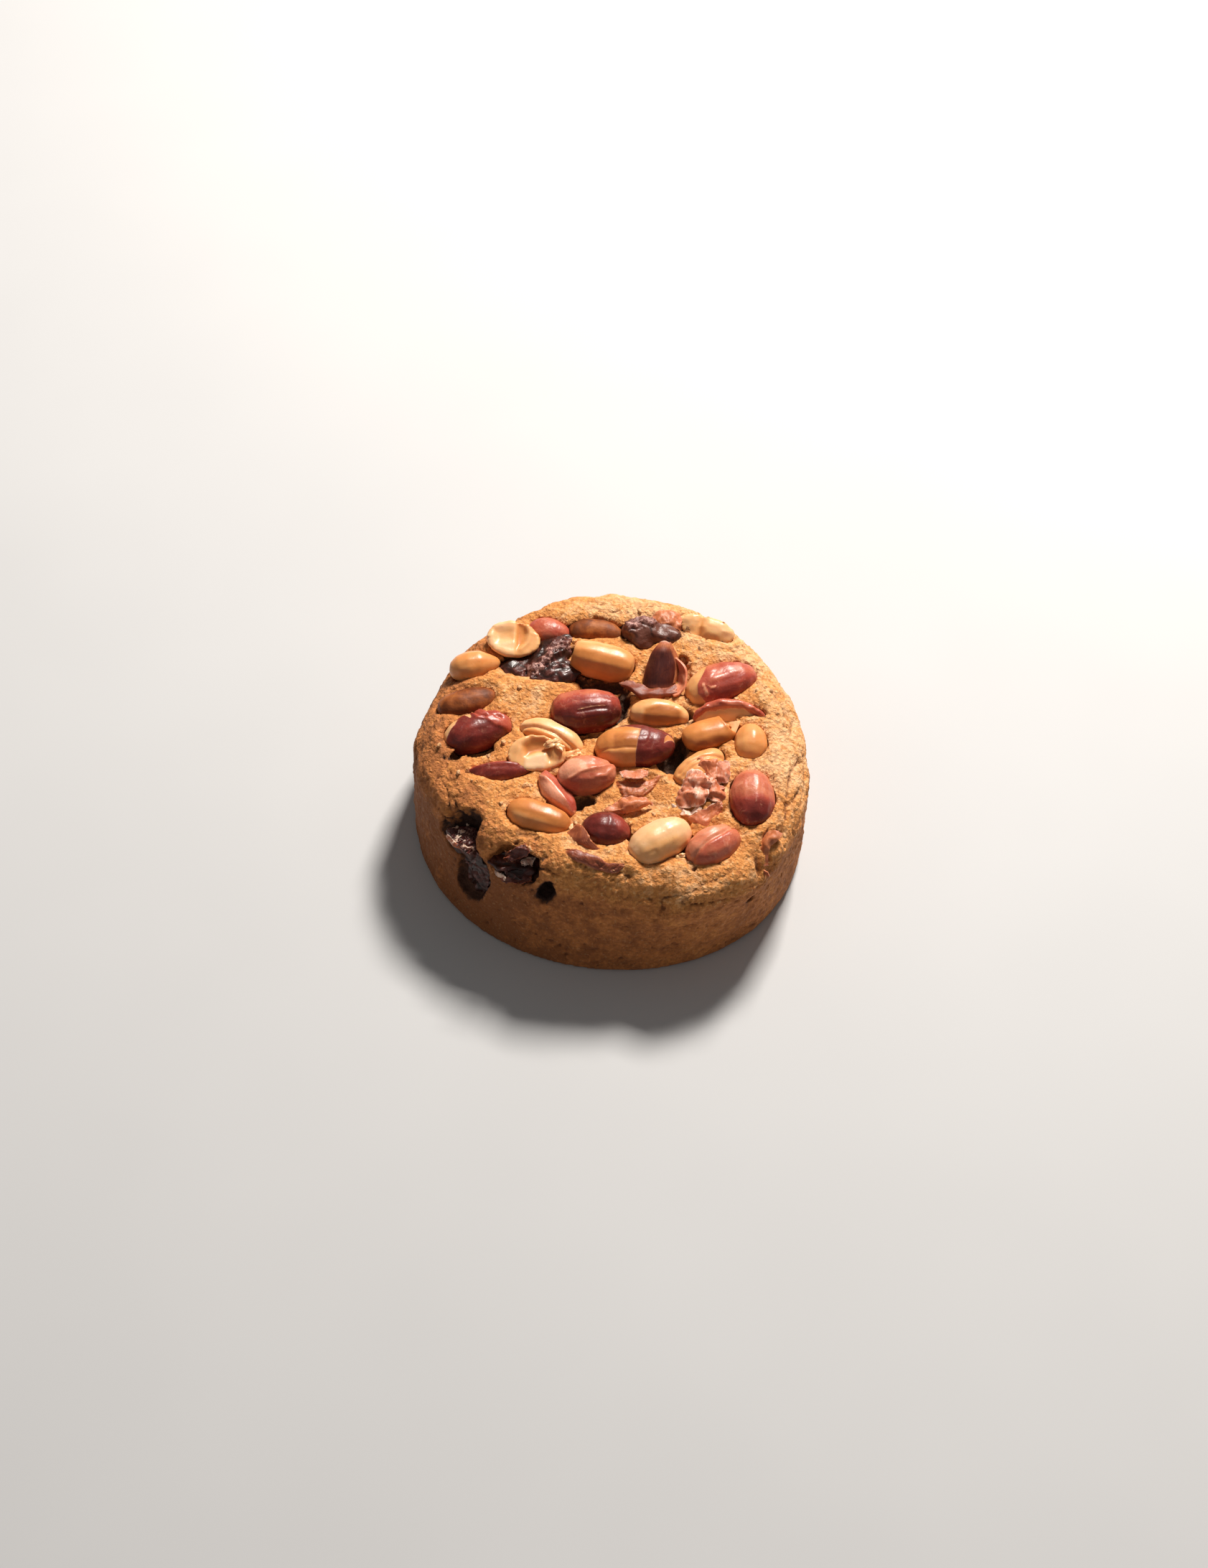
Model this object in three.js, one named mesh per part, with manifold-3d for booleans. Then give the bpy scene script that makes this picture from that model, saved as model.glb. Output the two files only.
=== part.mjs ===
// A thick, straight-sided cookie baked in a ring, its top set with peanut kernels, torn red
// skins and chunks of melted chocolate.
//
// Units are millimetres, +Z is up and the origin is the middle of the flat base. +Y points to
// the back of the cookie, away from the side that the nuts were photographed from.

import * as THREE from 'three';
import { mergeVertices } from 'three/addons/utils/BufferGeometryUtils.js';
import Module from 'manifold-3d';

const wasm = await Module();
wasm.setup();

// Driving dimensions
const TOP_RADIUS = 42.5; // widest radius of the wall, just under the rounded rim
const BASE_RADIUS = 43.5; // the dough spreads a little where it stands
const HEIGHT = 27.6; // base to the crest of the rim
const RIM_ROUND = 7; // radius of the rounded rim
const BASE_ROUND = 0.8; // small round at the foot of the wall
const FLOOR_DISH = 1.3; // how far the middle of the top lies under the crest
const GAP = 0.42; // clear space kept between neighbouring pieces
const SHELL = 0.55; // thickness of a loose skin

// Mesh density
const DOUGH_SECTORS = 56;
const TOP_RINGS = 10;
const WALL_RINGS = 5;
const RIM_RINGS = 4;
const AROUND = 11; // facets round a kernel
const ALONG = 7; // facets along a kernel
const FLATTEN = 0.12; // joined solids lose the facets that matter less than this

const DEGREE = Math.PI / 180;

// Outline waves: each adds size * cos(count * (angle - peak)) to the radius.
const TOP_WAVES = [
  { count: 1, size: 0.9, peak: 8 },
  { count: 2, size: 1.6, peak: -38 },
  { count: 3, size: 1.4, peak: -47 },
];
const BASE_WAVES = [
  { count: 1, size: 0.5, peak: -120 },
  { count: 2, size: 1.2, peak: -60 },
  { count: 3, size: 1, peak: -30 },
];

// Swellings and hollows of the wall: lift pushes it out round an angle in degrees and a height,
// spread is its half width in degrees and tall its half height.
const SWELLS = [
  { angle: 28, height: 25, lift: 1.1, spread: 30, tall: 12 },
  { angle: 160, height: 28, lift: -2.6, spread: 15, tall: 8 },
  { angle: 124, height: 27, lift: -0.8, spread: 10, tall: 6 },
  { angle: -60, height: 14, lift: 0.5, spread: 14, tall: 7 },
  { angle: -120, height: 12, lift: 0.4, spread: 18, tall: 6 },
  { angle: 80, height: 12, lift: -0.5, spread: 16, tall: 6 },
];

// Hills and hollows of the top: round bumps of the given lift at [x, y].
const TOP_RELIEF = [
  { at: [-21, 12], radius: 7, lift: 1.3 }, // mound between the left kernels
  { at: [-13, 13.5], radius: 4, lift: 0.9 }, // its ridge, behind the dark red kernel
  { at: [-3, 13.6], radius: 4.2, lift: -3.2 }, // hollow in front of the square kernel
  { at: [5.6, 8.6], radius: 3, lift: -2.4 },
  { at: [15.2, -4.5], radius: 3.4, lift: -4 }, // deep gap right of the big torn kernel
  { at: [-8.5, -18.6], radius: 2.6, lift: -2.6 },
  { at: [-27, -6.5], radius: 3.2, lift: -1.6 },
  { at: [7, -15], radius: 6, lift: -1.2 }, // basin with the loose skins
  { at: [18, 24], radius: 6, lift: 0.8 },
  { at: [-29, -14], radius: 6.5, lift: 0.7 },
  { at: [-8, -35], radius: 7, lift: 0.8 }, // front lip
  { at: [12, -37], radius: 7, lift: 1.1 },
  { at: [26, -34], radius: 5, lift: 1.2 },
  { at: [38, -8], radius: 5, lift: 0.8 }, // right lip
  { at: [36, 12], radius: 6, lift: 0.6 },
  { at: [-35, 17], radius: 7, lift: -1.4 }, // low rim at the back left
  { at: [-20.5, 20], radius: 4.4, lift: -2.6 }, // flat pool of chocolate
  { at: [-32, -26], radius: 5, lift: -2.2 }, // chocolate has sunk into the rim
  { at: [-20.5, -33], radius: 4.5, lift: -1.8 },
];

// Holes and crevices in the wall and the rim: ellipsoids cut out of the dough.
const HOLLOWS = [
  { at: [-12.8, -40.2, 23.6], size: [4.2, 6, 6.4], heading: 20 },
  { at: [30.6, -31.4, 10.8], size: [3, 4, 3.6], heading: 45 },
  { at: [27.6, -34.2, 8.4], size: [4.6, 2.4, 1.8], heading: 40 },
  { at: [35.2, -26.4, 21], size: [3, 8, 14], heading: -38 },
  { at: [-32.4, -23.6, 25], size: [8.4, 8.4, 7], heading: 40 },
  { at: [14.5, 42.5, 13], size: [5, 3, 2.4], heading: -20 },
  { at: [-40.6, 14.5, 16], size: [3, 4.5, 3.2], heading: 15 },
];

// Long cracks along the wall, from one angle to another, at a height that may climb.
const CRACKS = [
  { from: -154, to: -108, low: 5.4, high: 6.6, depth: 0.9, width: 1.1 },
  { from: -103, to: -84, low: 19.6, high: 20.6, depth: 0.7, width: 1 },
  { from: 28, to: 62, low: 8.5, high: 10, depth: 0.8, width: 1.1 },
  { from: 118, to: 160, low: 17.5, high: 16, depth: 0.8, width: 1.1 },
];

// Whole kernels and half kernels. size is [length, width, height]; a half has its flat face up.
// fullness above 2 squares the ends, point narrows the +X end, waist pinches the middle and bend
// bows the kernel sideways. heading turns it on the cookie, pitch lifts its +X end and roll
// turns it about its own length, all in degrees.
const KERNELS = [
  // without skin
  { name: 'blanched_1', at: [-30.3, 19.2, 26], size: [11.6, 7.8, 7.4], heading: 11, pitch: 4,
    fullness: 2, point: 0.42, bend: 0 },
  { name: 'blanched_2', at: [-2.3, 20.3, 27.3], size: [14.4, 8.2, 8.2], heading: -14, pitch: -2,
    fullness: 3.6, point: 0.05, bend: 0.3 },
  { name: 'blanched_3', at: [30.4, -0.9, 26], size: [9.8, 7.8, 7.4], heading: 88, pitch: 8,
    fullness: 2.2, point: 0.12, bend: 0 },
  { name: 'blanched_4', at: [-15, -22, 26.3], size: [14.2, 7.9, 7.6], heading: -18, pitch: -2,
    fullness: 2.5, point: 0.12, waist: 0.06, bend: 0.3 },
  { name: 'blanched_5', at: [10.8, -27.3, 26.2], size: [14.8, 9.4, 8.6], heading: 33, pitch: 2,
    fullness: 2.4, point: 0.1, bend: -0.2 },
  { name: 'blanched_6', at: [10.6, 6.6, 26.4], size: [13.2, 6.8, 6.6], heading: -2, pitch: -4,
    fullness: 2.3, point: 0.2, bend: -0.5 },
  // with the whole red skin
  { name: 'redskin_1', at: [-5.4, 6.9, 26.4], size: [15.6, 10.6, 9.4], heading: 7, pitch: 0,
    fullness: 2.6, point: 0.08, waist: 0.03, bend: 0.2 },
  { name: 'redskin_2', at: [-29.1, 0.6, 26], size: [15.2, 9.2, 8.4], heading: 21, pitch: 2,
    fullness: 2.3, point: 0.1, bend: -0.3 },
  { name: 'redskin_3', at: [-4.9, -11, 27], size: [12.8, 9.4, 8.4], heading: 5, pitch: 3,
    fullness: 2.2, point: 0.25, bend: 0 },
  { name: 'redskin_4', at: [-0.6, -24.9, 26], size: [10.6, 9.2, 8.2], heading: -6, pitch: 0,
    fullness: 2.1, point: 0.15, bend: 0 },
  { name: 'redskin_5', at: [30.5, -15.9, 26.2], size: [13.8, 10.2, 9.4], heading: 92, pitch: 9,
    fullness: 2.3, point: 0.06, bend: 0 },
  { name: 'redskin_6', at: [22.2, -28, 25.7], size: [13, 9, 8.2], heading: 33, pitch: 0,
    fullness: 2.2, point: 0.12, seam: 0.5, bend: 0 },
  { name: 'redskin_7', at: [-14.2, 29.6, 25.4], size: [10, 7, 6.6], heading: -10, pitch: 0,
    fullness: 2.1, point: 0.15, bend: 0 },
  // with half of the skin rubbed off
  { name: 'torn_1', at: [24, 15, 26.6], size: [16.8, 9.8, 8.6], heading: 24, pitch: 1,
    fullness: 2.3, point: 0.06, bend: -0.4 },
  { name: 'torn_2', at: [5.3, -3, 26.9], size: [17.4, 10.6, 9], heading: 4, pitch: 1,
    fullness: 2.25, point: 0.2, bend: 0.2 },
  // covered by a thin film of dough
  { name: 'dusted_1', at: [-4, 29.7, 25.3], size: [13, 6.4, 6.6], heading: -2, pitch: 0,
    fullness: 2.4, point: 0.1, bend: -1 },
  { name: 'dusted_2', at: [-31.4, 8.8, 25.6], size: [13.6, 7.6, 7], heading: 18, pitch: 1,
    fullness: 2.4, point: 0.12, bend: 0.4 },
  // half kernels, flat face up or on their side
  { name: 'split_1', at: [-21.9, 25.7, 26.9], size: [11.8, 8.6, 5.6], heading: -4, pitch: -4, roll: 14,
    half: true, fullness: 2.2, point: 0.1 },
  { name: 'split_2', at: [21.2, 30, 26.7], size: [12.6, 6.4, 4.6], heading: -19, pitch: -3, roll: 24,
    half: true, fullness: 2.3, point: 0.2, bend: 0.7 },
  { name: 'split_3', at: [25.9, 7, 26.6], size: [16.4, 6.2, 4.4], heading: 3, pitch: -2, roll: 58,
    half: true, fullness: 2.1, point: 0.3, bend: -0.8 },
  { name: 'split_4', at: [21.6, 1.4, 26.6], size: [12.6, 7.8, 5.6], heading: 19, pitch: 2,
    fullness: 2.5, point: 0.06, bend: 0.5 },
  { name: 'split_5', at: [-15.9, -5.7, 27], size: [12.4, 7, 4.8], heading: 4, pitch: -3, roll: 22,
    half: true, fullness: 2.2, point: 0.15, bend: -0.6 },
  { name: 'split_6', at: [-12.6, 0.3, 26], size: [15, 6.8, 5.4], heading: -22, pitch: -4,
    fullness: 2.2, point: 0.15, bend: -0.9 },
  { name: 'split_7', at: [-23.7, -9.9, 26], size: [16, 5.6, 5.4], heading: 8, pitch: 3, roll: -30,
    fullness: 1.9, point: 0.35, bend: 0.3 },
  { name: 'split_8', at: [-11.1, -15.4, 26.2], size: [12.8, 6.4, 5.6], heading: -58, pitch: -4, roll: 12,
    fullness: 2.1, point: 0.2, bend: 0.3 },
  { name: 'split_9', at: [19.4, -7.6, 25.9], size: [13, 7.6, 6.4], heading: 40, pitch: 0,
    fullness: 2.3, point: 0.15, bend: 0.4 },
];

// Bites and breaks: ellipsoids cut out of one piece.
const BITES = [
  { from: 'split_4', at: [25.5, 5.9, 28.6], size: [4.6, 4, 4.6], heading: 19 }, // nibbled corner
  { from: 'split_2', at: [19.2, 27.9, 28.3], size: [3.6, 3, 3], heading: -19 },
  { from: 'blanched_2', at: [-12.2, 22.8, 28.8], size: [7, 16, 18], heading: -14 }, // broken end
  { from: 'chocolate_4', at: [-19.6, -34.4, 24.4], size: [5.6, 4.6, 3.4], heading: 12 }, // its dark mouth
];

// Chunks of chocolate. Each is one or more lumps, and rough is how much their surface folds.
const CHOCOLATES = [
  { name: 'chocolate_1', rough: 0.16, lumps: [
    { at: [-13.4, 23.4, 25.6], size: [13.5, 6.8, 6.4], heading: 50 },
    { at: [-20.4, 19.8, 24.6], size: [10, 7, 4.2], heading: 8 },
  ] },
  { name: 'chocolate_2', rough: 0.13, lumps: [
    { at: [6.6, 29.2, 26.3], size: [9.4, 8, 7.4], heading: -20 },
    { at: [11.6, 28.6, 26.5], size: [8.6, 5.2, 4.8], heading: -18 },
  ] },
  { name: 'chocolate_3', rough: 0.2, lumps: [{ at: [-31.2, -24.8, 21], size: [9.4, 8.4, 6], heading: -40 }] },
  { name: 'chocolate_4', rough: 0.14, lumps: [{ at: [-20.6, -31.2, 22.8], size: [12.4, 8, 6], heading: 14 }] },
  { name: 'chocolate_5', rough: 0.08, lumps: [{ at: [-28.9, -28.9, 14.6], size: [8, 5.4, 14.6], heading: -42 }] },
];

// Loose skins and curled shells that are pieces of their own. Each leaf has a length and a width,
// its long edges rise above its middle line by its curl, and thick overrides SHELL.
const SKINS = [
  { name: 'skin_1', leaves: [ // stands like a petal
    { at: [10.5, 18.6, 28.7], size: [11.6, 7], heading: 86, pitch: 36, roll: -12, curl: -1.6, thick: 1.2 },
  ] },
  { name: 'split_10', leaves: [ // hollow half kernel on its edge
    { at: [15.2, 17.4, 26.8], size: [9.6, 6.4], heading: 88, pitch: 6, roll: -52, curl: 2.2, thick: 1.3 },
  ] },
  { name: 'skin_2', leaves: [ // ragged edge of a cup
    { at: [8.6, 13.7, 26.6], size: [15.4, 4.4], heading: -8, pitch: -2, roll: 42, curl: 0.9 },
  ] },
  { name: 'skin_3', leaves: [ // crumpled heap
    { at: [18.2, -13.6, 27.6], size: [8, 7], heading: -30, pitch: 4, roll: 4, curl: -1.6, thick: 0.8 },
    { at: [22.4, -11.6, 27.6], size: [7.4, 5], heading: 84, pitch: 34, roll: 12, curl: 1.2 },
    { at: [20, -19.6, 26.9], size: [10, 6.6], heading: 30, pitch: 6, roll: 24, curl: -1 },
  ] },
  { name: 'skin_4', leaves: [
    { at: [4.3, -18.6, 26.8], size: [10.8, 3.6], heading: 16, pitch: 8, roll: 20, curl: 1 },
  ] },
  { name: 'skin_5', leaves: [ // in the cleft of the rim
    { at: [35.6, -26.4, 24.6], size: [11, 4.2], heading: 64, pitch: 20, roll: 38, curl: 1.2 },
  ] },
];

// Flakes that are baked onto the dough.
const FLAKES = [
  { at: [6.4, -9.9, 26.3], size: [9.4, 3], heading: -1, pitch: 2, roll: 24, curl: 0.5 },
  { at: [6.2, -12.7, 25.6], size: [8.6, 4.6], heading: 6, curl: 0.3 },
  { at: [-3.4, -32.2, 27], size: [12, 4.6], heading: -11, roll: 10, curl: 0.4 },
  { at: [12.6, 33.2, 26.7], size: [8, 4.4], heading: 4, roll: -10, curl: 0.8 },
  { at: [-6.5, -29.5, 26.9], size: [8, 3], heading: 24, pitch: 4, roll: 10, curl: 0.5 },
  { at: [25.2, -8.2, 27.2], size: [5.4, 2.6], heading: 40, pitch: 20, curl: 0.6 },
];

const smooth = (low, high, value) => THREE.MathUtils.smoothstep(value, low, high);

/** A closed solid from a geometry: shared corners are merged and collapsed faces dropped. */
function solidFrom(geometry) {
  geometry.deleteAttribute('normal');
  geometry.deleteAttribute('uv');
  const merged = mergeVertices(geometry, 1e-4);
  const corners = merged.index.array;
  const kept = [];
  for (let i = 0; i < corners.length; i += 3) {
    const [a, b, c] = [corners[i], corners[i + 1], corners[i + 2]];
    if (a !== b && b !== c && c !== a) kept.push(a, b, c);
  }
  const mesh = new wasm.Mesh({
    numProp: 3,
    vertProperties: merged.attributes.position.array,
    triVerts: new Uint32Array(kept),
  });
  return new wasm.Manifold(mesh);
}

/** The geometry of a solid, with flat-shaded faces. */
function geometryFrom(solid) {
  const { vertProperties, triVerts } = solid.getMesh();
  const geometry = new THREE.BufferGeometry();
  geometry.setAttribute('position', new THREE.BufferAttribute(vertProperties, 3));
  geometry.setIndex(new THREE.BufferAttribute(triVerts, 1));
  geometry.computeVertexNormals();
  return geometry;
}

/** Moves every vertex of a geometry by a function of its place. */
function reshape(geometry, move) {
  const place = geometry.attributes.position;
  const point = new THREE.Vector3();
  for (let i = 0; i < place.count; i += 1) {
    move(point.fromBufferAttribute(place, i));
    place.setXYZ(i, point.x, point.y, point.z);
  }
  return geometry;
}

/** The biggest of a solid's separate bodies, so that loose scraps drop off. */
function largestBody(solid) {
  return solid.decompose().sort((a, b) => b.volume() - a.volume())[0];
}

/** One solid from several that overlap. */
function joined(solids) {
  return solids.length === 1 ? solids[0] : wasm.Manifold.union(solids).asOriginal().simplify(FLATTEN);
}

/** Where a piece lies: turned to its heading, nose up by its pitch, then rolled on its length. */
function pose({ at, heading = 0, pitch = 0, roll = 0 }) {
  const turn = new THREE.Euler(roll * DEGREE, -pitch * DEGREE, heading * DEGREE, 'ZYX');
  return new THREE.Matrix4()
    .makeRotationFromEuler(turn)
    .setPosition(...at);
}

/** A gentle fixed unevenness between -1 and 1, with hills a few millimetres wide. */
function uneven(x, y, z = 0) {
  const wide = Math.sin(0.62 * x + 1.1 * Math.sin(0.31 * y + 0.4)) * Math.cos(0.55 * y - 0.5 * z + 1.3);
  const fine = Math.sin(1.27 * x - 0.83 * y + 0.9 * z) * Math.sin(1.11 * y + 0.74 * x - z + 2.1);
  return 0.6 * wide + 0.4 * fine;
}

function waves(list, angle) {
  return list.reduce((sum, { count, size, peak }) => sum + size * Math.cos(count * (angle - peak * DEGREE)), 0);
}

/** Half of the dough's cross-section, from the middle of the base to the middle of the top. */
function doughProfile() {
  const wallTop = HEIGHT - RIM_ROUND;
  const profile = [[0, 0], [BASE_RADIUS * 0.5, 0], [BASE_RADIUS - BASE_ROUND, 0], [BASE_RADIUS, BASE_ROUND]];
  for (let i = 1; i <= WALL_RINGS; i += 1) {
    const share = i / WALL_RINGS;
    profile.push([
      THREE.MathUtils.lerp(BASE_RADIUS, TOP_RADIUS, share),
      THREE.MathUtils.lerp(BASE_ROUND, wallTop, share),
    ]);
  }
  for (let i = 1; i <= RIM_RINGS; i += 1) {
    const turn = (i / RIM_RINGS) * 0.5 * Math.PI;
    profile.push([
      TOP_RADIUS - RIM_ROUND * (1 - Math.cos(turn)),
      wallTop + RIM_ROUND * Math.sin(turn),
    ]);
  }
  const flat = TOP_RADIUS - RIM_ROUND;
  for (let i = 1; i <= TOP_RINGS; i += 1) {
    const share = 1 - i / TOP_RINGS;
    profile.push([flat * share, HEIGHT]);
  }
  return profile.map(([radius, z]) => new THREE.Vector2(radius, z));
}

/** How far the top rises or sinks at [x, y]. */
function topRelief(x, y) {
  const radius = Math.hypot(x, y);
  let lift = -FLOOR_DISH * (1 - smooth(8, TOP_RADIUS - RIM_ROUND, radius));
  for (const { at, radius: reach, lift: rise } of TOP_RELIEF) {
    lift += rise * Math.exp(-((x - at[0]) ** 2 + (y - at[1]) ** 2) / reach ** 2);
  }
  return lift + 0.45 * uneven(x, y);
}

/** How far the wall swells out at an angle in degrees and a height. */
function wallSwell(angle, z) {
  return SWELLS.reduce((sum, swell) => {
    const aside = THREE.MathUtils.euclideanModulo(angle - swell.angle + 180, 360) - 180;
    return sum + swell.lift * Math.exp(-((aside / swell.spread) ** 2) - ((z - swell.height) / swell.tall) ** 2);
  }, 0);
}

/** How deep the wall's cracks are at an angle in degrees and a height. */
function crackDepth(angle, z) {
  let depth = 0;
  for (const { from, to, low, high, depth: deep, width } of CRACKS) {
    const share = (angle - from) / (to - from);
    if (share < 0 || share > 1) continue;
    const height = THREE.MathUtils.lerp(low, high, share) + 0.5 * Math.sin(share * 19);
    const fade = Math.sin(Math.PI * share) ** 0.5;
    depth += deep * fade * Math.exp(-(((z - height) / width) ** 2));
  }
  return depth;
}

/** The dough before anything is set into it. */
function doughSolid() {
  const geometry = new THREE.LatheGeometry(doughProfile(), DOUGH_SECTORS).rotateX(Math.PI / 2);
  reshape(geometry, (p) => {
    const angle = Math.atan2(p.y, p.x);
    const share = THREE.MathUtils.clamp(p.z / (HEIGHT - RIM_ROUND), 0, 1);
    const wave = THREE.MathUtils.lerp(waves(BASE_WAVES, angle), waves(TOP_WAVES, angle), share);
    const radius = Math.hypot(p.x, p.y);
    const onWall = smooth(0, 3, p.z) * smooth(TOP_RADIUS - RIM_ROUND - 8, TOP_RADIUS - 1, radius);
    const crag = 0.4 * uneven(p.x, p.y, p.z) - crackDepth(angle / DEGREE, p.z) + wallSwell(angle / DEGREE, p.z);
    const scale = 1 + (wave + onWall * crag) / TOP_RADIUS;
    const onTop = smooth(HEIGHT - RIM_ROUND + 1, HEIGHT - 1.5, p.z);
    p.set(p.x * scale, p.y * scale, p.z + onTop * topRelief(p.x * scale, p.y * scale));
  });
  const solid = solidFrom(geometry);
  return solid.volume() > 0 ? solid : solid.mirror([0, 0, 1]).mirror([0, 0, 1]);
}

/** A peanut kernel along X, in its own frame. grow swells it all round. */
function kernelSolid(kernel, grow = 0) {
  const { size, fullness = 2.2, point = 0, waist = 0, bend = 0, seam = 0.2, half = false } = kernel;
  const [length, width, height] = size.map((extent) => extent / 2 + grow);
  const geometry = new THREE.SphereGeometry(1, AROUND, ALONG).rotateZ(-Math.PI / 2);
  const phase = size[0] * 2.3 + size[1];
  reshape(geometry, (p) => {
    const round = Math.hypot(p.y, p.z);
    const along = Math.sign(p.x) * Math.abs(p.x) ** (2 / fullness);
    const out = round ** (2 / fullness);
    const turn = Math.atan2(p.z, p.y);
    const taper = 1 - point * smooth(-0.1, 1, along);
    const pinch = 1 - waist * Math.exp(-((along / 0.35) ** 2));
    const lump = 1 + 0.025 * Math.sin(3 * along + phase) * Math.sin(2 * turn + phase);
    const groove = 1 - (seam / width) * Math.exp(-((Math.cos(turn) ** 2 - 1) ** 2) / 0.02);
    const reach = out * taper * pinch * lump * (half ? 1 : groove);
    const side = Math.cos(turn) * reach;
    const rise = Math.sin(turn) * reach;
    const facing = half && rise > 0;
    p.x = length * along;
    p.y = width * side + bend * (along ** 2 - 0.4);
    // A half kernel is domed below, and its cut face is slightly dished.
    if (half) p.z = facing ? height * (0.62 - 0.16 * rise) + grow * 0.4 : height * (0.62 + 1.5 * rise) - grow * 0.2;
    else p.z = height * rise;
  });
  return solidFrom(geometry);
}

/** An ellipsoid of the given full size. */
function ellipsoidSolid(size, around = 12, along = 8) {
  return solidFrom(new THREE.SphereGeometry(0.5, around, along).scale(...size));
}

/** One rough lump of chocolate, in its own frame. */
function lumpSolid(size, rough, phase, grow = 0) {
  const geometry = new THREE.IcosahedronGeometry(1, 2);
  reshape(geometry, (p) => {
    const fold = Math.sin(3.1 * p.x + phase) * Math.sin(3.7 * p.y - phase) + 0.6 * Math.sin(5.3 * p.z + 4.1 * p.x + phase);
    const swell = 1 + rough * fold;
    p.set(
      p.x * (size[0] / 2 + grow) * swell,
      p.y * (size[1] / 2 + grow) * swell,
      p.z * (size[2] / 2 + grow) * swell,
    );
  });
  return solidFrom(geometry);
}

/** A chunk of chocolate in the cookie's frame. */
function chocolateSolid({ lumps, rough }, grow = 0) {
  return joined(lumps
    .map((lump) => lumpSolid(lump.size, rough, lump.at[0], grow).transform(pose(lump).elements)));
}

/** A thin wavy leaf with pointed ends, in its own frame, both faces split alike. */
function leafSolid(length, width, curl, phase, thickness) {
  const [columns, rows] = [6, 3];
  const points = [];
  for (const side of [0.5, -0.5]) {
    for (let i = 0; i <= columns; i += 1) {
      for (let j = 0; j <= rows; j += 1) {
        const [u, v] = [(2 * i) / columns - 1, (2 * j) / rows - 1];
        const reach = 0.28 + 0.72 * (1 - u ** 2) ** 0.5 + 0.1 * Math.sin(5 * u + phase) * Math.sign(v);
        const wave = 0.3 * Math.sin(3.3 * u + phase) * v;
        points.push(
          (length / 2) * u + 0.25 * Math.sin(4 * v + phase),
          (width / 2) * v * reach,
          curl * (v ** 2 - 0.4) * reach + wave + side * thickness,
        );
      }
    }
  }
  const faces = [];
  const under = (columns + 1) * (rows + 1);
  const index = (i, j) => i * (rows + 1) + j;
  for (let i = 0; i < columns; i += 1) {
    for (let j = 0; j < rows; j += 1) {
      const [a, b, c, d] = [index(i, j), index(i + 1, j), index(i + 1, j + 1), index(i, j + 1)];
      faces.push(a, b, c, a, c, d, under + a, under + c, under + b, under + a, under + d, under + c);
    }
  }
  const edge = [];
  for (let i = 0; i < columns; i += 1) edge.push(index(i, 0));
  for (let j = 0; j < rows; j += 1) edge.push(index(columns, j));
  for (let i = columns; i > 0; i -= 1) edge.push(index(i, rows));
  for (let j = rows; j > 0; j -= 1) edge.push(index(0, j));
  edge.forEach((a, k) => {
    const b = edge[(k + 1) % edge.length];
    faces.push(a, under + a, under + b, a, under + b, b);
  });
  const geometry = new THREE.BufferGeometry();
  geometry.setAttribute('position', new THREE.Float32BufferAttribute(points, 3));
  geometry.setIndex(faces);
  return solidFrom(geometry);
}

/** One or more overlapping leaves in the cookie's frame. */
function leavesSolid(leaves, grow = 0) {
  return joined(leaves.map((leaf) => {
    const { size: [length, width], curl, thick = SHELL } = leaf;
    return leafSolid(length + 2 * grow, width + 2 * grow, curl, leaf.at[0], thick + 2 * grow)
      .transform(pose(leaf).elements);
  }));
}

/** A solid without the bites that were taken from the piece of this name. */
function bitten(name, solid) {
  return BITES.filter(({ from }) => from === name)
    .reduce((rest, bite) => rest.subtract(ellipsoidSolid(bite.size).transform(pose(bite).elements)), solid);
}

const LOOKS = {
  dough: { color: 0xc07a3e, roughness: 0.85 },
  blanched: { color: 0xd9984a, roughness: 0.4 },
  redskin: { color: 0x8a3528, roughness: 0.42 },
  torn: { color: 0xb56a42, roughness: 0.4 },
  dusted: { color: 0x9a6226, roughness: 0.7 },
  split: { color: 0xe0a65e, roughness: 0.45 },
  chocolate: { color: 0x2c1712, roughness: 0.3 },
  skin: { color: 0xa6523a, roughness: 0.5 },
};

/** A named mesh of a solid that is given in the cookie's frame, placed by its own matrix. */
function pieceMesh(name, solid, matrix = new THREE.Matrix4()) {
  const local = solid.transform(matrix.clone().invert().elements);
  const look = LOOKS[name.split('_')[0]];
  const mesh = new THREE.Mesh(geometryFrom(local), new THREE.MeshStandardMaterial(look));
  mesh.name = name;
  mesh.position.setFromMatrixPosition(matrix);
  mesh.quaternion.setFromRotationMatrix(matrix);
  return mesh;
}

/** The solid with every given cutter taken out of it, with its smallest facets smoothed away. */
function clearOf(solid, cutters) {
  const rest = largestBody(cutters.reduce((whole, cutter) => whole.subtract(cutter), solid));
  return rest.numTri() === solid.numTri() ? solid : largestBody(rest.asOriginal().simplify(FLATTEN));
}

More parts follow.
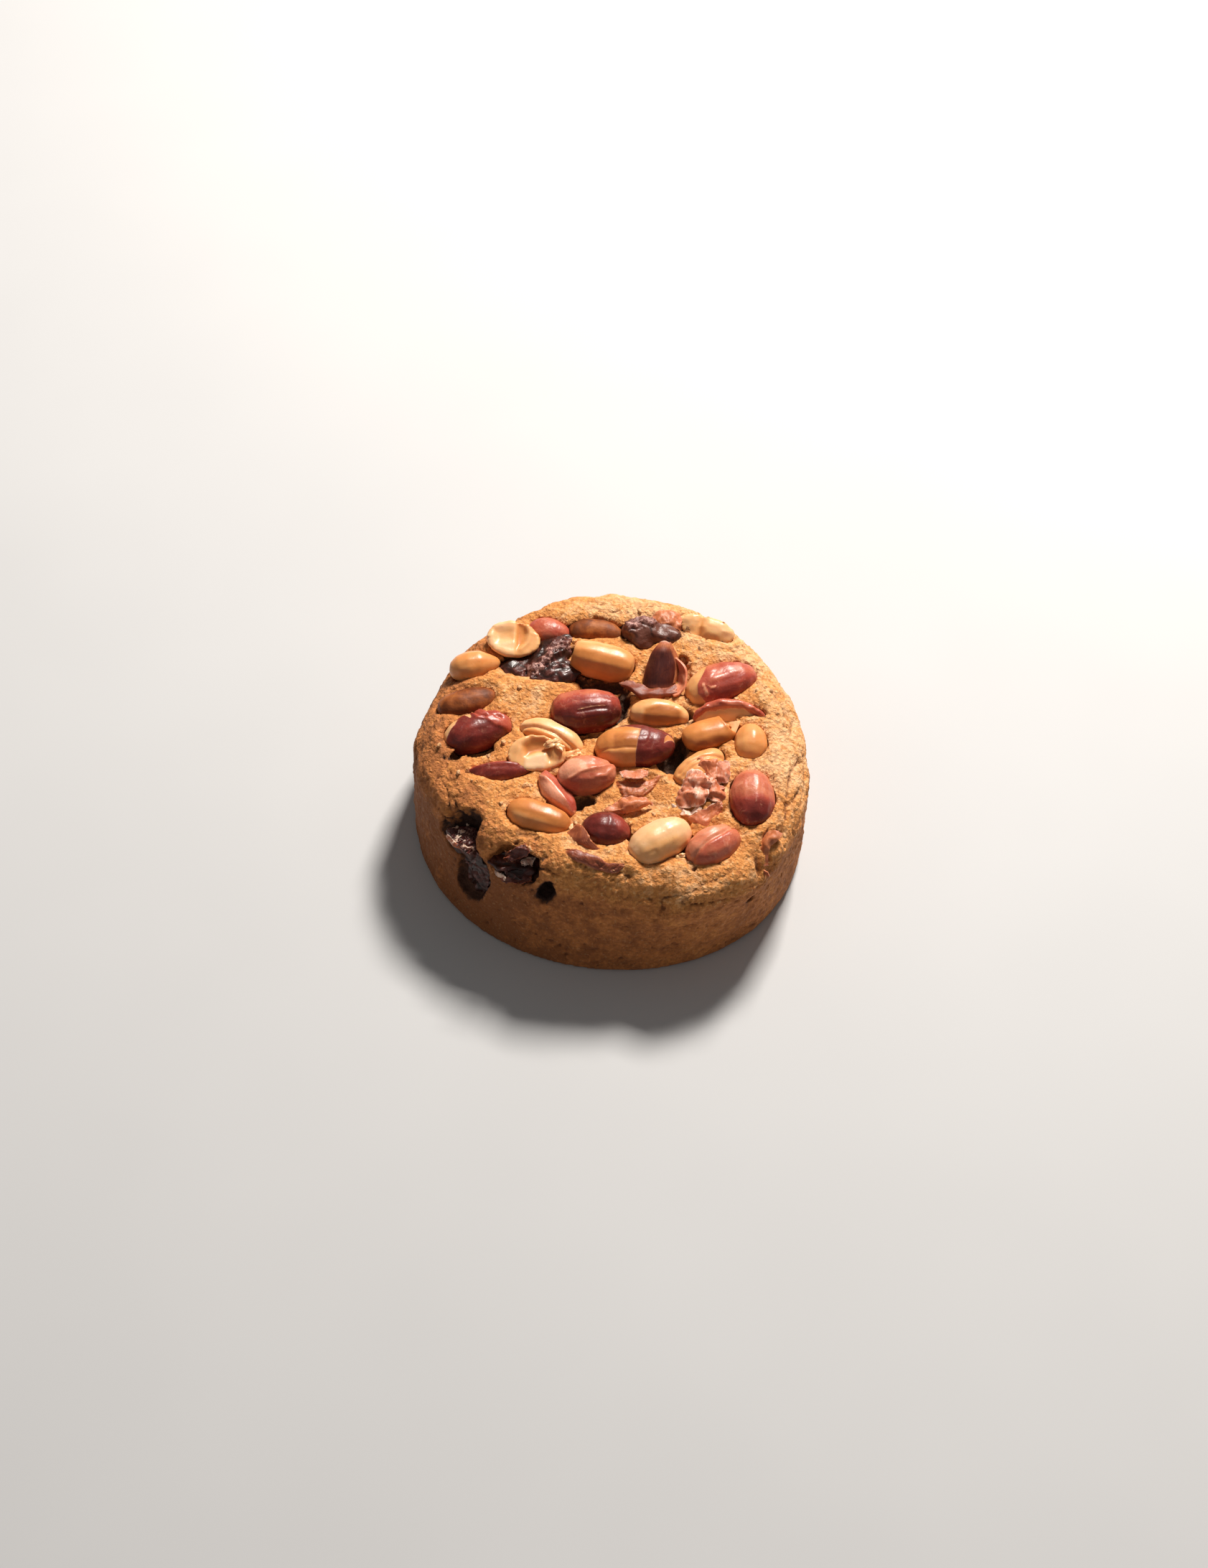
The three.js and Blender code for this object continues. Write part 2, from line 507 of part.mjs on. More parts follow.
function buildCookie() {
  const pieces = [
    ...KERNELS.map((kernel) => ({
      name: kernel.name,
      matrix: pose(kernel),
      build: (grow) => kernelSolid(kernel, grow).transform(pose(kernel).elements),
    })),
    ...CHOCOLATES.map((chunk) => ({
      name: chunk.name,
      matrix: new THREE.Matrix4().setPosition(...chunk.lumps[0].at),
      build: (grow) => chocolateSolid(chunk, grow),
    })),
    ...SKINS.map((skin) => ({
      name: skin.name,
      matrix: new THREE.Matrix4().setPosition(...skin.leaves[0].at),
      build: (grow) => leavesSolid(skin.leaves, grow),
    })),
  ];

  const cookie = new THREE.Group();
  const rooms = [];
  for (const { name, matrix, build } of pieces) {
    cookie.add(pieceMesh(name, clearOf(bitten(name, build(0)), rooms), matrix));
    rooms.push(build(GAP));
  }

  let dough = doughSolid().add(leavesSolid(FLAKES));
  for (const { at, size, heading } of HOLLOWS) {
    dough = dough.subtract(ellipsoidSolid(size).transform(pose({ at, heading }).elements));
  }
  cookie.add(pieceMesh('dough', clearOf(dough, rooms)));
  return cookie;
}

export default buildCookie();
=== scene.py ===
"""Dresses a packed cookie for rendering.

The cookie is a thick round of baked dough whose top is set with peanut kernels, loose red skins
and chunks of melted chocolate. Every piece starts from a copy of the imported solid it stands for,
is rounded and given its fine shape, and gets a finish made of shader nodes.
"""

import math
import random

import bpy
import numpy as np
from mathutils import Euler, Matrix, Vector, noise
from mathutils.bvhtree import BVHTree


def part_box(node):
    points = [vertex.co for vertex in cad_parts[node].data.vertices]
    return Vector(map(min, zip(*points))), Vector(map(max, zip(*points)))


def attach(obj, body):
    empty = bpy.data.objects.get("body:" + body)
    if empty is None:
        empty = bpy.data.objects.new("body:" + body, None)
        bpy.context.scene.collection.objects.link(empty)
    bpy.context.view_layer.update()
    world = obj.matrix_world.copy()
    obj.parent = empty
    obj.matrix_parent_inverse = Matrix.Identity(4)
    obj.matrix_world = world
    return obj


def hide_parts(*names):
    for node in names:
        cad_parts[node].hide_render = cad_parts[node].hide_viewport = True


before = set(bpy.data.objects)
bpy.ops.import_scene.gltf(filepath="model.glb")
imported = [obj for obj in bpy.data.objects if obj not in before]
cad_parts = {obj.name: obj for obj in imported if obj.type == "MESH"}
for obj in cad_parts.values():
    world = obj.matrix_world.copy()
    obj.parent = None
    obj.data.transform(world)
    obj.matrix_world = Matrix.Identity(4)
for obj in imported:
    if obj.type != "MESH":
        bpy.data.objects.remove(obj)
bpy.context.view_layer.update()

bl_info = {
    "name": "Peanut Cookie",
    "version": (1, 0, 0),
    "blender": (4, 5, 0),
    "location": "View3D > Sidebar > Cookie",
    "description": "Shapes and finishes a peanut and chocolate cookie around its packed solids",
    "category": "Add Mesh",
}

MM = 0.001
DOWN = Vector((0, 0, -1))
COOKIE_MIDDLE = Vector((0, 0, 14 * MM))
COOKIE_RADIUS = 42

# Crumbs lie within this distance of the middle and above this height, in millimetres.
CRUMB_REACH = 39
CRUMB_FLOOR = 23

# The broken top of the sunk block: where it lies along X and Y and how high at least, in
# millimetres, and the number of chips on it.
BLOCK_TOP = {"x": (-36, -28), "y": (-28, -20.6), "above": 20.4, "chips": 36}

# The photograph's camera: the degrees that it looks down and tilts to its side, its place back,
# right and up from the origin in millimetres, and its focal length.
CAMERA = {"down": 53.7, "tilt": 1.2, "place": (644.8, -1.11, 5.51), "lens": 65.93}

# How each kernel lies and looks. heading is the way its +X end points, in degrees. flesh is the
# tone of its flesh, from 0, pale cream, to 1, toasted brown. skin is the tone of its skin, from 0,
# dark maroon, to 1, pale pink, and scuffs how worn that skin is. Places are in millimetres from the
# kernel's middle, along its length and across it. bare lists the outlines inside which the skin is
# gone, creases the lines (points, width, height) that run over its top, and patches the areas of
# its top (outline, softness of the edge, changes) that are raised or have another tone. Some of
# these tones are painted shade on a kernel's front side, away from the light, and some a painted
# highlight on its top. flats are planes (point, normal) that it is pressed against, and grow is its
# size against its solid's.
KERNELS = {
    "blanched_1": {"heading": 11, "flesh": 0.6},
    "blanched_2": {
        "heading": -14, "flesh": 0.5, "flats": [((-6.6, 0, 0), (-1, 0, 0.15))],
        "patches": [
            # Painted shade on the front side, then a painted highlight along the top.
            ([(-8, -5), (-8, -1.2), (8, -0.6), (8, -5)], 1.4, {"flesh": 0.2}),
            ([(-7, 1.4), (-6, 3.2), (4, 3.4), (5, 2.4)], 1, {"flesh": -0.2}),
        ],
    },
    "blanched_3": {"heading": 88, "flesh": 0.6},
    "blanched_4": {
        "heading": -18, "flesh": 0.8,
        "patches": [([(-8, -5), (-8, -1.6), (8, -2.2), (8, -5)], 1.2, {"flesh": -0.2})],
    },
    "blanched_5": {
        "heading": 33, "flesh": 0.16,
        "creases": [([(-5, -2.6), (-3, -3)], 0.3, -0.15), ([(-6, 0.6), (0, 1), (5.6, 1.6)], 0.5, 0.1)],
        "patches": [([(-8, -6), (-7, -1), (6, -3), (8, -6)], 1.5, {"flesh": 0.2})],
    },
    "blanched_6": {
        "heading": -2, "flesh": 0.38,
        "patches": [(
            [(-3.6, -3.4), (-3.2, -1.4), (-0.1, 0), (3.3, 0.1), (4.7, -0.8), (4.6, -3.2), (0, -3.6)], 1.3,
            {"flesh": 0.42, "lift": -0.25},
        )],
    },
    "redskin_1": {
        "heading": 7, "skin": 0.38, "scuffs": 0.5,
        "bare": [[(-2.1, -2.2), (0.4, -1.85), (3.9, -1.5), (3.9, -1.42), (0.3, -1.75), (-2.1, -2.14)]],
        "creases": [([(-2.2, -2.7), (0.6, -2.4), (4.2, -2)], 0.3, -0.3)],
        "patches": [
            # A painted highlight on the top, then painted shade on the front side.
            ([(-7, 0.6), (-5, 4.5), (4, 5), (6, 1.6)], 1.8, {"skin": 0.24}),
            ([(-9, -7), (-8, -1.6), (8, -1), (9, -7)], 2, {"skin": -0.26}),
        ],
    },
    "redskin_2": {
        "heading": 21, "skin": 0.24, "flesh": 0.3, "scuffs": 0.35,
        "bare": [
            [(-8.5, 1.2), (-5.6, 3.4), (-3.1, 3.4), (-4.3, 1.6), (-6, 0.6), (-7.4, -0.8), (-8.5, -0.8)],
            [(-1.4, 3.8), (-0.3, 3.6), (-0.5, 1.9), (-0.9, 1.8)],
        ],
        "patches": [(
            [(0, 5), (0.4, 1.2), (2.2, 0.4), (3.6, -1.4), (8, -3), (8, 5)], 0.6,
            {"skin": 0.26, "lift": 0.35},
        )],
        "creases": [
            ([(0.6, 4), (1.2, 1.8), (2.4, 1.2)], 0.3, -0.7),
            ([(2.8, 3.8), (3.6, 1.6), (5.4, 0.2)], 0.35, -0.55),
            ([(2, 3.9), (2.6, 2.4), (4.2, 1)], 0.3, 0.4), ([(5, 2.6), (5.6, 1), (7, 0)], 0.3, 0.3),
        ],
    },
    "redskin_3": {
        "heading": 5, "skin": 0.74, "scuffs": 0.3,
        "creases": [
            ([(-3.9, -2.3), (-0.8, -1.2), (2.3, -0.4), (6.1, 1.6)], 0.35, 0.3),
            ([(1.7, -2.4), (4, -1.8), (6.1, 1.1)], 0.3, 0.25),
            ([(-2, 3.4), (1.4, 2.2), (4.6, 2.4)], 0.4, 0.2),
        ],
        "patches": [
            (
                [(-6.5, 1), (-3.1, 3.4), (-0.2, 0.9), (0, -0.9), (-3.4, -2.2), (-6.5, -1.9)], 0.5,
                {"skin": 0.24},
            ),
            # Painted shade on the front side.
            ([(-6, -6), (-5, -2.6), (0, -1.6), (6, -2), (6, -6)], 0.8, {"skin": -0.14}),
        ],
    },
    "redskin_4": {
        "heading": -6, "skin": 0.12, "scuffs": 0.25,
        "patches": [([(0.5, 2.5), (1.4, 0.5), (3, -1.5), (6, -1), (4, 4)], 1, {"skin": 0.2})],
        "creases": [([(0.2, 3), (0.9, 0.4), (0.6, -2.4)], 0.35, 0.15)],
    },
    "redskin_5": {
        "heading": 92, "skin": 0.68, "scuffs": 0.75,
        # Painted shade on the front half, away from the light.
        "patches": [([(-8, -6), (-8, 6), (-1.6, 6), (-2.2, 0), (-1.6, -6)], 4.5, {"skin": -0.4})],
    },
    "redskin_6": {
        "heading": 33, "skin": 0.84, "scuffs": 0.7,
        "creases": [
            ([(-6.4, -1.2), (-2, -0.2), (2.4, 0.2), (6.2, 1.6)], 0.4, -0.5),
            ([(-4, 2.4), (0, 2), (4.6, 2.6)], 0.4, 0.2),
        ],
        "patches": [(
            [(-7, -1.4), (-2, -0.4), (2.4, 0), (6.6, 1.4), (7, -6), (-7, -6)], 0.7,
            {"skin": -0.22, "lift": -0.1},
        )],
    },
    "redskin_7": {"heading": -10, "skin": 0.55, "scuffs": 0.7},
    "torn_1": {
        "heading": 24, "skin": 0.56, "flesh": 0.5, "scuffs": 0.6,
        "bare": [[
            (-9, 0.2), (-7, 4), (-3.4, 6.5), (0, 7), (-1.2, 4.6), (-3.2, 2.1), (-5.9, -0.3), (-6.5, -2),
            (-5.4, -3.8), (-6.4, -6), (-9, -4),
        ]],
        "creases": [
            ([(-4.8, -0.8), (-4.9, -1.7), (-4.5, -3.1)], 0.2, 0.15),
            ([(-4, -1.4), (-3.4, -2.3), (-2.5, -2.4)], 0.2, 0.15),
        ],
        "patches": [
            # Painted shade on the front side.
            ([(-5, -6), (-5, -1.5), (8, -1), (8, -6)], 1.4, {"skin": -0.14}),
            ([(-5, -0.6), (-5.1, -3.2), (-4.4, -3.2), (-4.5, -0.6)], 0.2, {"skin": 0.5}),
            ([(-4.1, -1.2), (-3.6, -2.4), (-2.4, -2.6), (-2.4, -2.1), (-3.4, -1.9)], 0.2, {"skin": 0.5}),
        ],
    },
    "torn_2": {
        "heading": 4, "skin": 0.2, "flesh": 0.72, "scuffs": 0.3,
        "bare": [
            [
                (-9.5, -8), (-9.5, 7), (-4.8, 4.6), (-1.5, 3.3), (0.2, 2.4), (1.4, 2.2), (0.5, -0.8),
                (-0.1, -3.7), (-0.2, -8),
            ],
            [(6.2, -1), (6.5, 0.5), (7.1, 1.5), (8.6, 0.3), (7, -0.2)],
        ],
        "creases": [
            ([(-8.6, -1.7), (-4.5, -2.4), (0.1, -2.6)], 0.16, -0.22),
            ([(-4.5, 1.1), (-2.1, 0.8), (0.4, 0.7)], 0.15, -0.1),
        ],
        "patches": [
            ([(-4.6, 1.1), (0.6, 0.7), (0.2, -2.6), (-4.6, -2.3)], 0.7, {"flesh": 0.16}),
            ([(-9, -2.2), (0.4, -2.8), (0.4, -7), (-9, -7)], 0.4, {"flesh": -0.16}),
        ],
    },
    "dusted_1": {"heading": -2},
    "dusted_2": {"heading": 18},
    "split_1": {
        "heading": -4, "flesh": 0.3,
        "patches": [
            (
                [(0.3, -6), (0.5, -1), (0.2, 2.6), (-0.6, 6), (-8, 6), (-8, -6)], 0.3,
                {"lift": 0.35, "flesh": -0.1},
            ),
            ([(-5, 1.6), (-0.2, 2), (-0.2, -0.4), (-3.6, -1.2)], 1.8, {"lift": -0.35, "flesh": 0.16}),
            (
                [(0.4, 3.6), (1.8, 3.4), (2.6, 1.6), (2.2, -0.8), (1, -2), (0.4, 0)], 1.2,
                {"lift": -0.5, "flesh": 0.26},
            ),
            ([(0.4, 6), (0.4, -6), (8, -6), (8, 6)], 0.8, {"flesh": 0.12}),
        ],
        "creases": [([(2.6, 3.2), (3.4, 1.5), (3.1, -0.6), (1.7, -2.4)], 0.6, 0.35)],
    },
    "split_2": {
        "heading": -19, "flesh": 0.3,
        "patches": [
            ([(-1.6, 0), (-0.6, 1.8), (3, 2), (4.8, 0.4), (3.4, -1.8), (-0.6, -2)], 2.6, {"lift": 1.1}),
            ([(-5.4, 0.4), (-4, 1.8), (-2.6, 1), (-2.8, -1), (-4.4, -1.2)], 1.8, {"lift": 0.5}),
            ([(-3, 4), (-1.8, 0), (-3, -4), (7, -4), (7, -1), (1, -1.4), (-1, 0)], 1.4, {"flesh": 0.25}),
        ],
        "creases": [([(-1.9, 2.6), (-1.9, 0), (-1.4, -2.4)], 0.5, -0.4)],
    },
    "split_3": {
        "heading": 3, "skin": 0.6, "flesh": 0.26, "scuffs": 0.4,
        "bare": [[(-9, -2), (-5.2, -0.3), (-0.3, 0.1), (3.1, 0), (5.4, -1), (5, -5), (-9, -5)]],
        "creases": [
            ([(-8.5, -2), (-5.2, -0.3), (-0.3, 0.1), (3.1, 0), (6.2, -1.2)], 0.3, -0.3),
            ([(-4.6, 0.6), (0, 0.9), (4, 0.5)], 0.4, -0.3), ([(-5, 1.6), (0, 2), (4.6, 1.2)], 0.5, 0.35),
        ],
    },
    "split_4": {
        "heading": 19, "flesh": 0.74,
        "patches": [
            (
                [(3.1, 5), (3.5, 0.8), (3.9, -0.8), (4.8, -1.6), (7.5, -2), (8, 5)], 0.35,
                {"lift": -1.5, "flesh": -0.3},
            ),
            ([(-7, -6), (-6, -2.6), (0, -2.2), (4, -3), (4, -6)], 1, {"flesh": 0.22}),
        ],
        "creases": [([(3, 3.4), (3.3, 0.8), (3.7, -0.8)], 0.4, 0.3)],
    },
    "split_5": {
        "heading": 4, "flesh": 0.3, "grow": (1.04, 1.2, 1.12),
        "patches": [
            (
                [(-3, 1.4), (-1.4, 2.6), (2, 2.6), (3.2, 1.4), (1.4, 0.2), (-2.2, -0.6)], 2.2,
                {"lift": -0.8, "flesh": 0.5},
            ),
            (
                [(-2.7, -1), (-0.2, 0.1), (1.8, 0.1), (2.2, -2), (0.5, -5.2), (-3, -4)], 0.7,
                {"lift": 0.25, "flesh": -0.28},
            ),
            ([(2.4, 2.4), (3, -0.2), (3.8, -1.6), (6, -1), (6, 3)], 1, {"lift": 0.3, "flesh": 0.2}),
        ],
        "creases": [
            ([(-4.6, -2), (-3.9, 0.6), (-2.2, 2.6)], 0.8, 0.4), ([(2.6, 1.6), (2.7, -1.8)], 0.35, -0.5),
        ],
    },
    "split_6": {
        "heading": -22, "flesh": 0.28,
        "creases": [([(-6.3, -1.6), (-3.4, -0.7), (0.9, -0.6), (4, -1.3), (5.9, -1.7)], 0.4, -0.6)],
        "patches": [([(-6, -2.6), (-5, -1.2), (4, -1.2), (6, -3)], 0.8, {"flesh": 0.3})],
    },
    "split_7": {
        "heading": 8, "skin": 0.26, "scuffs": 0.45,
        "creases": [([(-7, 0.2), (-2, 0.8), (3, 0.5), (7, 0.8)], 0.5, 0.5)],
        "patches": [([(-7, 0.4), (-2, 1), (7, 1), (7, 4), (-7, 4)], 0.4, {"skin": 0.2})],
    },
    "split_8": {
        "heading": -58, "skin": 0.94, "scuffs": 0.5,
        "flats": [((2, -2.1, 0), (0.42, -1, 0)), ((-1, 1.8, 0), (-0.3, 1, 0)), ((0, 0, 1.9), (0, 0.5, 1))],
        "creases": [([(-4.8, -1.3), (-1.8, -0.4), (2.1, -0.1), (6, 0)], 0.5, 0.4)],
        "patches": [([(-6, -1.4), (-1.8, -0.4), (6, 0), (6, 4), (-6, 4)], 0.4, {"skin": -0.4})],
    },
    "split_9": {
        "heading": 40, "flesh": 0.55,
        "creases": [
            ([(-5.2, 0.6), (-2.4, 1), (0.8, 0.5), (3.4, -0.8), (4.9, -1.7)], 0.35, -0.5),
            ([(-5, -0.6), (-2.2, -0.4), (0.6, -1), (2.6, -2.2)], 0.3, -0.35),
        ],
    },
}

# Broken bits of kernel: where they lie and how large they are, in millimetres, their heading in
# degrees and the tone of their flesh.
NIBS = [
    {"at": (-12.5, -3.9, 29.2), "size": (3.8, 2, 1.6), "heading": 30, "flesh": 0.2},
    {"at": (-11, -4.8, 29), "size": (2.6, 1.5, 1.2), "heading": -40, "flesh": 0.3},
    {"at": (-7.8, -5.6, 27.3), "size": (4.2, 2.4, 2), "heading": 24, "flesh": 0.35},
    {"at": (-8.1, -24.2, 26.2), "size": (1.9, 1.3, 1.2), "heading": 50, "flesh": 0.2},
    {"at": (15.7, -30.6, 26), "size": (1.8, 1.1, 1), "heading": 10, "flesh": 0.25},
    {"at": (14.6, -30.9, 25.8), "size": (1.2, 0.9, 0.8), "heading": 70, "flesh": 0.3},
    {"at": (21.9, 8.9, 27.4), "size": (2, 1.1, 0.9), "heading": -10, "flesh": 0.25},
    {"at": (20.7, 8.5, 27.3), "size": (1.2, 1, 0.8), "heading": 20, "flesh": 0},
]

# Thin sheets: the node that each belongs to, or flakes where it has none, its thickness, how torn
# its edges are, how deep its folds are, its tone from 0, dark, to 1, pale, what else it has, and the
# rows of points that it passes through. Lengths are in millimetres. tip is the tone at the last
# rows, baked how far the sheet lies over the dough that it is baked onto, and skin 3 covers a sheet
# among the split kernels with red skin.
SHEETS = {
    "petal": ("skin_1", 0.9, 0, 0.12, 0.02, {"tip": 0.66}, [
        [(7.1, 15.1, 25.6), (8.5, 14, 26.4), (10.3, 13.6, 26.8), (12.1, 14, 26.5), (13.3, 15.1, 25.7)],
        [(7.5, 17.5, 27.4), (8.9, 16.6, 28.4), (10.5, 16.1, 28.8), (12.2, 16.5, 28.4), (13.8, 17.3, 27.4)],
        [(8.3, 19.8, 28.9), (9.5, 18.9, 29.8), (10.8, 18.6, 30.1), (12.2, 18.9, 29.8), (13.6, 19.6, 28.9)],
        [(9.3, 21.4, 30.1), (10.1, 20.8, 30.8), (11, 20.5, 31.1), (11.9, 20.7, 30.8), (12.8, 21.2, 30.1)],
        [(10.8, 22.8, 31.2), (11.1, 22.8, 31.5), (11.5, 22.9, 31.6), (11.9, 22.8, 31.5), (12.2, 22.7, 31.2)],
    ]),
    "petal_edge": ("skin_1", 0.35, 0.4, 0.15, 0.42, {}, [
        [(12.4, 14.5, 26), (13.6, 15.4, 26.4), (14.6, 16.6, 25.8)],
        [(12.6, 16.7, 27.8), (14, 17.6, 27.9), (14.8, 18.8, 27.2)],
        [(12.4, 19.3, 29.2), (13.7, 20, 29.2), (14.4, 21, 28.6)],
        [(12, 21.3, 30.4), (12.9, 21.7, 30.5), (13.5, 22.4, 29.8)],
        [(11.8, 22.8, 31.3), (12.3, 22.9, 31.3), (12.8, 23.2, 31)],
    ]),
    "curl": ("split_10", 0.5, 0.5, 0.25, 0.82, {"skin": 3}, [
        [(13.6, 20.5, 29.2), (13.7, 20.2, 28.2), (13.9, 20, 27)],
        [(15.1, 19.2, 29.4), (14.6, 19.2, 28.2), (14.2, 19.4, 26.6)],
        [(16.2, 17.4, 29.2), (15.4, 17.9, 27.8), (14.5, 18.6, 26.2)],
        [(16.5, 15.6, 28.6), (15.5, 16.2, 27.4), (14.3, 17.3, 26)],
        [(16.1, 13.3, 27.9), (15.4, 14.4, 27), (14.6, 15.9, 26)],
        [(15.1, 11.5, 27.6), (14.5, 12.4, 27.1), (14, 13.7, 26.5)],
        [(13.8, 10.8, 27.3), (13.5, 11.3, 27.1), (13.4, 11.8, 26.9)],
    ]),
    "cup": ("skin_2", 0.3, 0.8, 0.35, 0.2, {}, [
        [(1.5, 14.6, 27.2), (1.8, 14.2, 27.1), (2.1, 13.9, 26.8)],
        [(4.1, 15.2, 27.4), (3.9, 13.3, 27.5), (4, 13.4, 26.2)],
        [(5.7, 14.5, 27.3), (6, 11.2, 27.5), (6.3, 11.5, 25.8)],
        [(8.2, 13.5, 27.1), (8.2, 11.4, 27.5), (8.5, 10.8, 25.3)],
        [(10.5, 13.3, 27), (10.5, 11.3, 27.5), (10.5, 11.2, 25.3)],
        [(12.7, 13.6, 27), (12.6, 11.5, 27.5), (12.8, 11.9, 25.4)],
        [(14.3, 14.6, 27.2), (14.5, 12, 27.4), (14.6, 12.3, 25.6)],
    ]),
    "blob": ("skin_3", 0.3, 0.5, 1.2, 0.78, {}, [
        [(16.9, -10.2, 28.2), (18.8, -9.9, 28.8), (20.7, -10.3, 28.8), (22, -11.1, 28.2)],
        [(16, -12.3, 28.2), (18, -13.2, 29.9), (20.1, -13.4, 29.9), (22.1, -13.1, 28.6)],
        [(15.2, -14.3, 27.7), (17.2, -15.6, 29.5), (19.3, -15.7, 29.7), (21.4, -15.1, 28.6)],
        [(14.7, -16.5, 27.1), (16.4, -17.7, 28.8), (18.5, -17.7, 29.3), (20.7, -16.9, 28.4)],
        [(14.3, -18.1, 26.2), (15.9, -19.3, 27.5), (17.7, -19.6, 28.2), (19.9, -18.4, 27.7)],
    ]),
    # The pocket lies under the blob; its darker tone is painted shade.
    "pocket": ("skin_3", 0.3, 0.3, 0.8, 0.5, {}, [
        [(17.1, -15.4, 27.9), (18.1, -15.5, 28.1), (19.3, -14.9, 28.2), (20.6, -15.3, 27.7)],
        [(16.1, -16.1, 27.3), (17.8, -16.4, 27.6), (19, -16.2, 27.6), (20.6, -16.2, 27.2)],
        [(14.8, -17, 26.6), (16.8, -17.5, 26.9), (18.2, -17.5, 26.9), (19.7, -16.9, 26.8)],
        [(14.1, -17.4, 26), (15.8, -18.1, 26.2), (17.3, -18.3, 26.3), (18.8, -17.7, 26.4)],
    ]),
    "frill": ("skin_3", 0.3, 1, 0.9, 1.0, {}, [
        [(13.4, -17.4, 26.5), (14.6, -18.9, 26.9), (16.2, -19.5, 27.2),
         (17.9, -19.4, 27.4), (19.5, -18.6, 27.5)],
        [(13.9, -18.7, 26.5), (14.9, -20.4, 27), (16.3, -21.1, 27.3),
         (18, -20.8, 27.5), (19.9, -20.2, 27.6)],
    ]),
    "skirt": ("skin_3", 0.35, 0.8, 0.8, 0.62, {}, [
        [(14.5, -19.8, 26.4), (17.1, -20.3, 27.3), (19.7, -19.6, 27.7),
         (22.2, -18.1, 27.7), (24.1, -16.3, 27.3)],
        [(15.7, -20.4, 26), (17.9, -21.7, 27), (19.9, -21.3, 27.4),
         (22.2, -19.6, 27.3), (24.1, -17.6, 26.8)],
        [(17.1, -21.2, 25.5), (18.4, -22.8, 26.2), (20, -22.7, 26.6),
         (22, -20.9, 26.6), (23.9, -18.8, 26.2)],
        [(17.8, -21.9, 24.9), (18.5, -23.5, 25.1), (20, -23.4, 25.3),
         (21.8, -21.7, 25.3), (23.5, -19.4, 25.1)],
    ]),
    "flap": ("skin_3", 0.25, 0.8, 0.9, 0.62, {}, [
        [(18.6, -6.9, 28.7), (19.8, -6.7, 29.2), (21.5, -6.9, 29.1), (22.8, -7.1, 28.5)],
        [(19.2, -8.9, 28.7), (20.5, -9, 29.4), (22.1, -9, 29.2), (23.5, -8.8, 28.3)],
        [(20.1, -10.8, 28.1), (21.2, -11.2, 28.7), (22.5, -10.9, 28.5), (23.8, -10.5, 27.9)],
        [(21.2, -12.1, 27.2), (22, -12.7, 27.6), (23.1, -12.1, 27.4), (23.8, -11.6, 27)],
    ]),
    "ragged": ("skin_3", 0.25, 1, 0.6, 0.74, {}, [
        [(22.5, -8.3, 28.4), (23.8, -7.4, 28.9), (25.6, -7.4, 28.4)],
        [(22.8, -10.5, 28.4), (24.3, -10.2, 28.9), (25.9, -9.9, 28)],
        [(22.5, -12.6, 27.5), (23.8, -12.9, 28), (25.3, -12.2, 27.3)],
    ]),
    "fold": ("skin_3", 0.3, 1, 0.9, 0.7, {}, [
        [(20.3, -12.6, 28), (21.6, -12.2, 28.7), (23.1, -12.8, 28.4), (24.7, -13.3, 27.6)],
        [(20.4, -14.7, 28), (21.8, -15.2, 28.9), (23.4, -15.6, 28.4), (24.6, -15.5, 27.3)],
        [(21.1, -16.8, 27.3), (22.1, -17.7, 28), (23.1, -17.7, 27.6), (24.2, -17.3, 26.7)],
    ]),
    "skin_4": ("skin_4", 0.3, 0.9, 0.8, 0.56, {}, [
        [(1.2, -18.3, 27.2), (3.2, -17.1, 27.6), (5.7, -16.8, 27.7), (7.4, -17, 27.6), (9.2, -17.7, 26.9)],
        [(-1.2, -20.3, 26.8), (2, -20, 27.9), (4.5, -19.3, 28.2), (7, -18.5, 28), (9.5, -17.9, 26.9)],
        [(1.6, -20.4, 26.4), (3, -20.9, 26.8), (5, -20.2, 27), (7.3, -18.9, 26.8), (8.9, -18, 26.4)],
    ]),
    "rim_shard": ("skin_5", 0.35, 0.4, 0.45, 0.5, {}, [
        [(35, -24.1, 26.6), (35.9, -24.4, 26.8), (37, -24.6, 26.4)],
        [(33.5, -24.4, 26.2), (34.6, -25.8, 26.7), (35.9, -26.2, 26.2)],
        [(32.2, -26.3, 25.2), (33.1, -27.5, 25.9), (34.2, -27.5, 25.4)],
        [(31.9, -28.5, 24), (32.7, -29.2, 24.6), (33.9, -28.9, 24.2)],
        [(32.2, -30.5, 22.6), (32.8, -30.7, 23), (33.9, -30.4, 22.6)],
    ]),
    "lower_shard": ("skin_5", 0.3, 0.5, 0.2, 0.4, {}, [
        [(32.4, -30.9, 22.2), (33.1, -31.4, 22.4), (33.9, -31.8, 22.2)],
        [(32.8, -31.5, 21.4), (33.5, -32.1, 21.6), (34.3, -32.5, 21.4)],
    ]),
    "pink_strip": ("flakes", 0.3, 0.8, 0.5, 0.68, {}, [
        [(2, -10.2, 27.4), (3.7, -9.8, 27.6), (5.6, -9.7, 27.7), (7.4, -9.7, 27.7), (8.3, -9.8, 27.5)],
        [(2.5, -11.6, 27.6), (3.9, -12.1, 27.9), (5.6, -12.3, 28), (7, -12, 27.9), (7.9, -11, 27.5)],
    ]),
    "orange_patch": ("flakes", 0.35, 1, 0.15, 0.42, {"baked": 0.3}, [
        [(1.1, -11.4, 27), (3.6, -11.7, 27.3), (6.3, -11.8, 27.4), (8.8, -11.2, 27.3), (11.1, -9.9, 26.9)],
        [(1.9, -13.7, 26.8), (3.9, -14.1, 27), (6.1, -14.1, 27.1), (8.3, -13.1, 27), (10.3, -11.7, 26.7)],
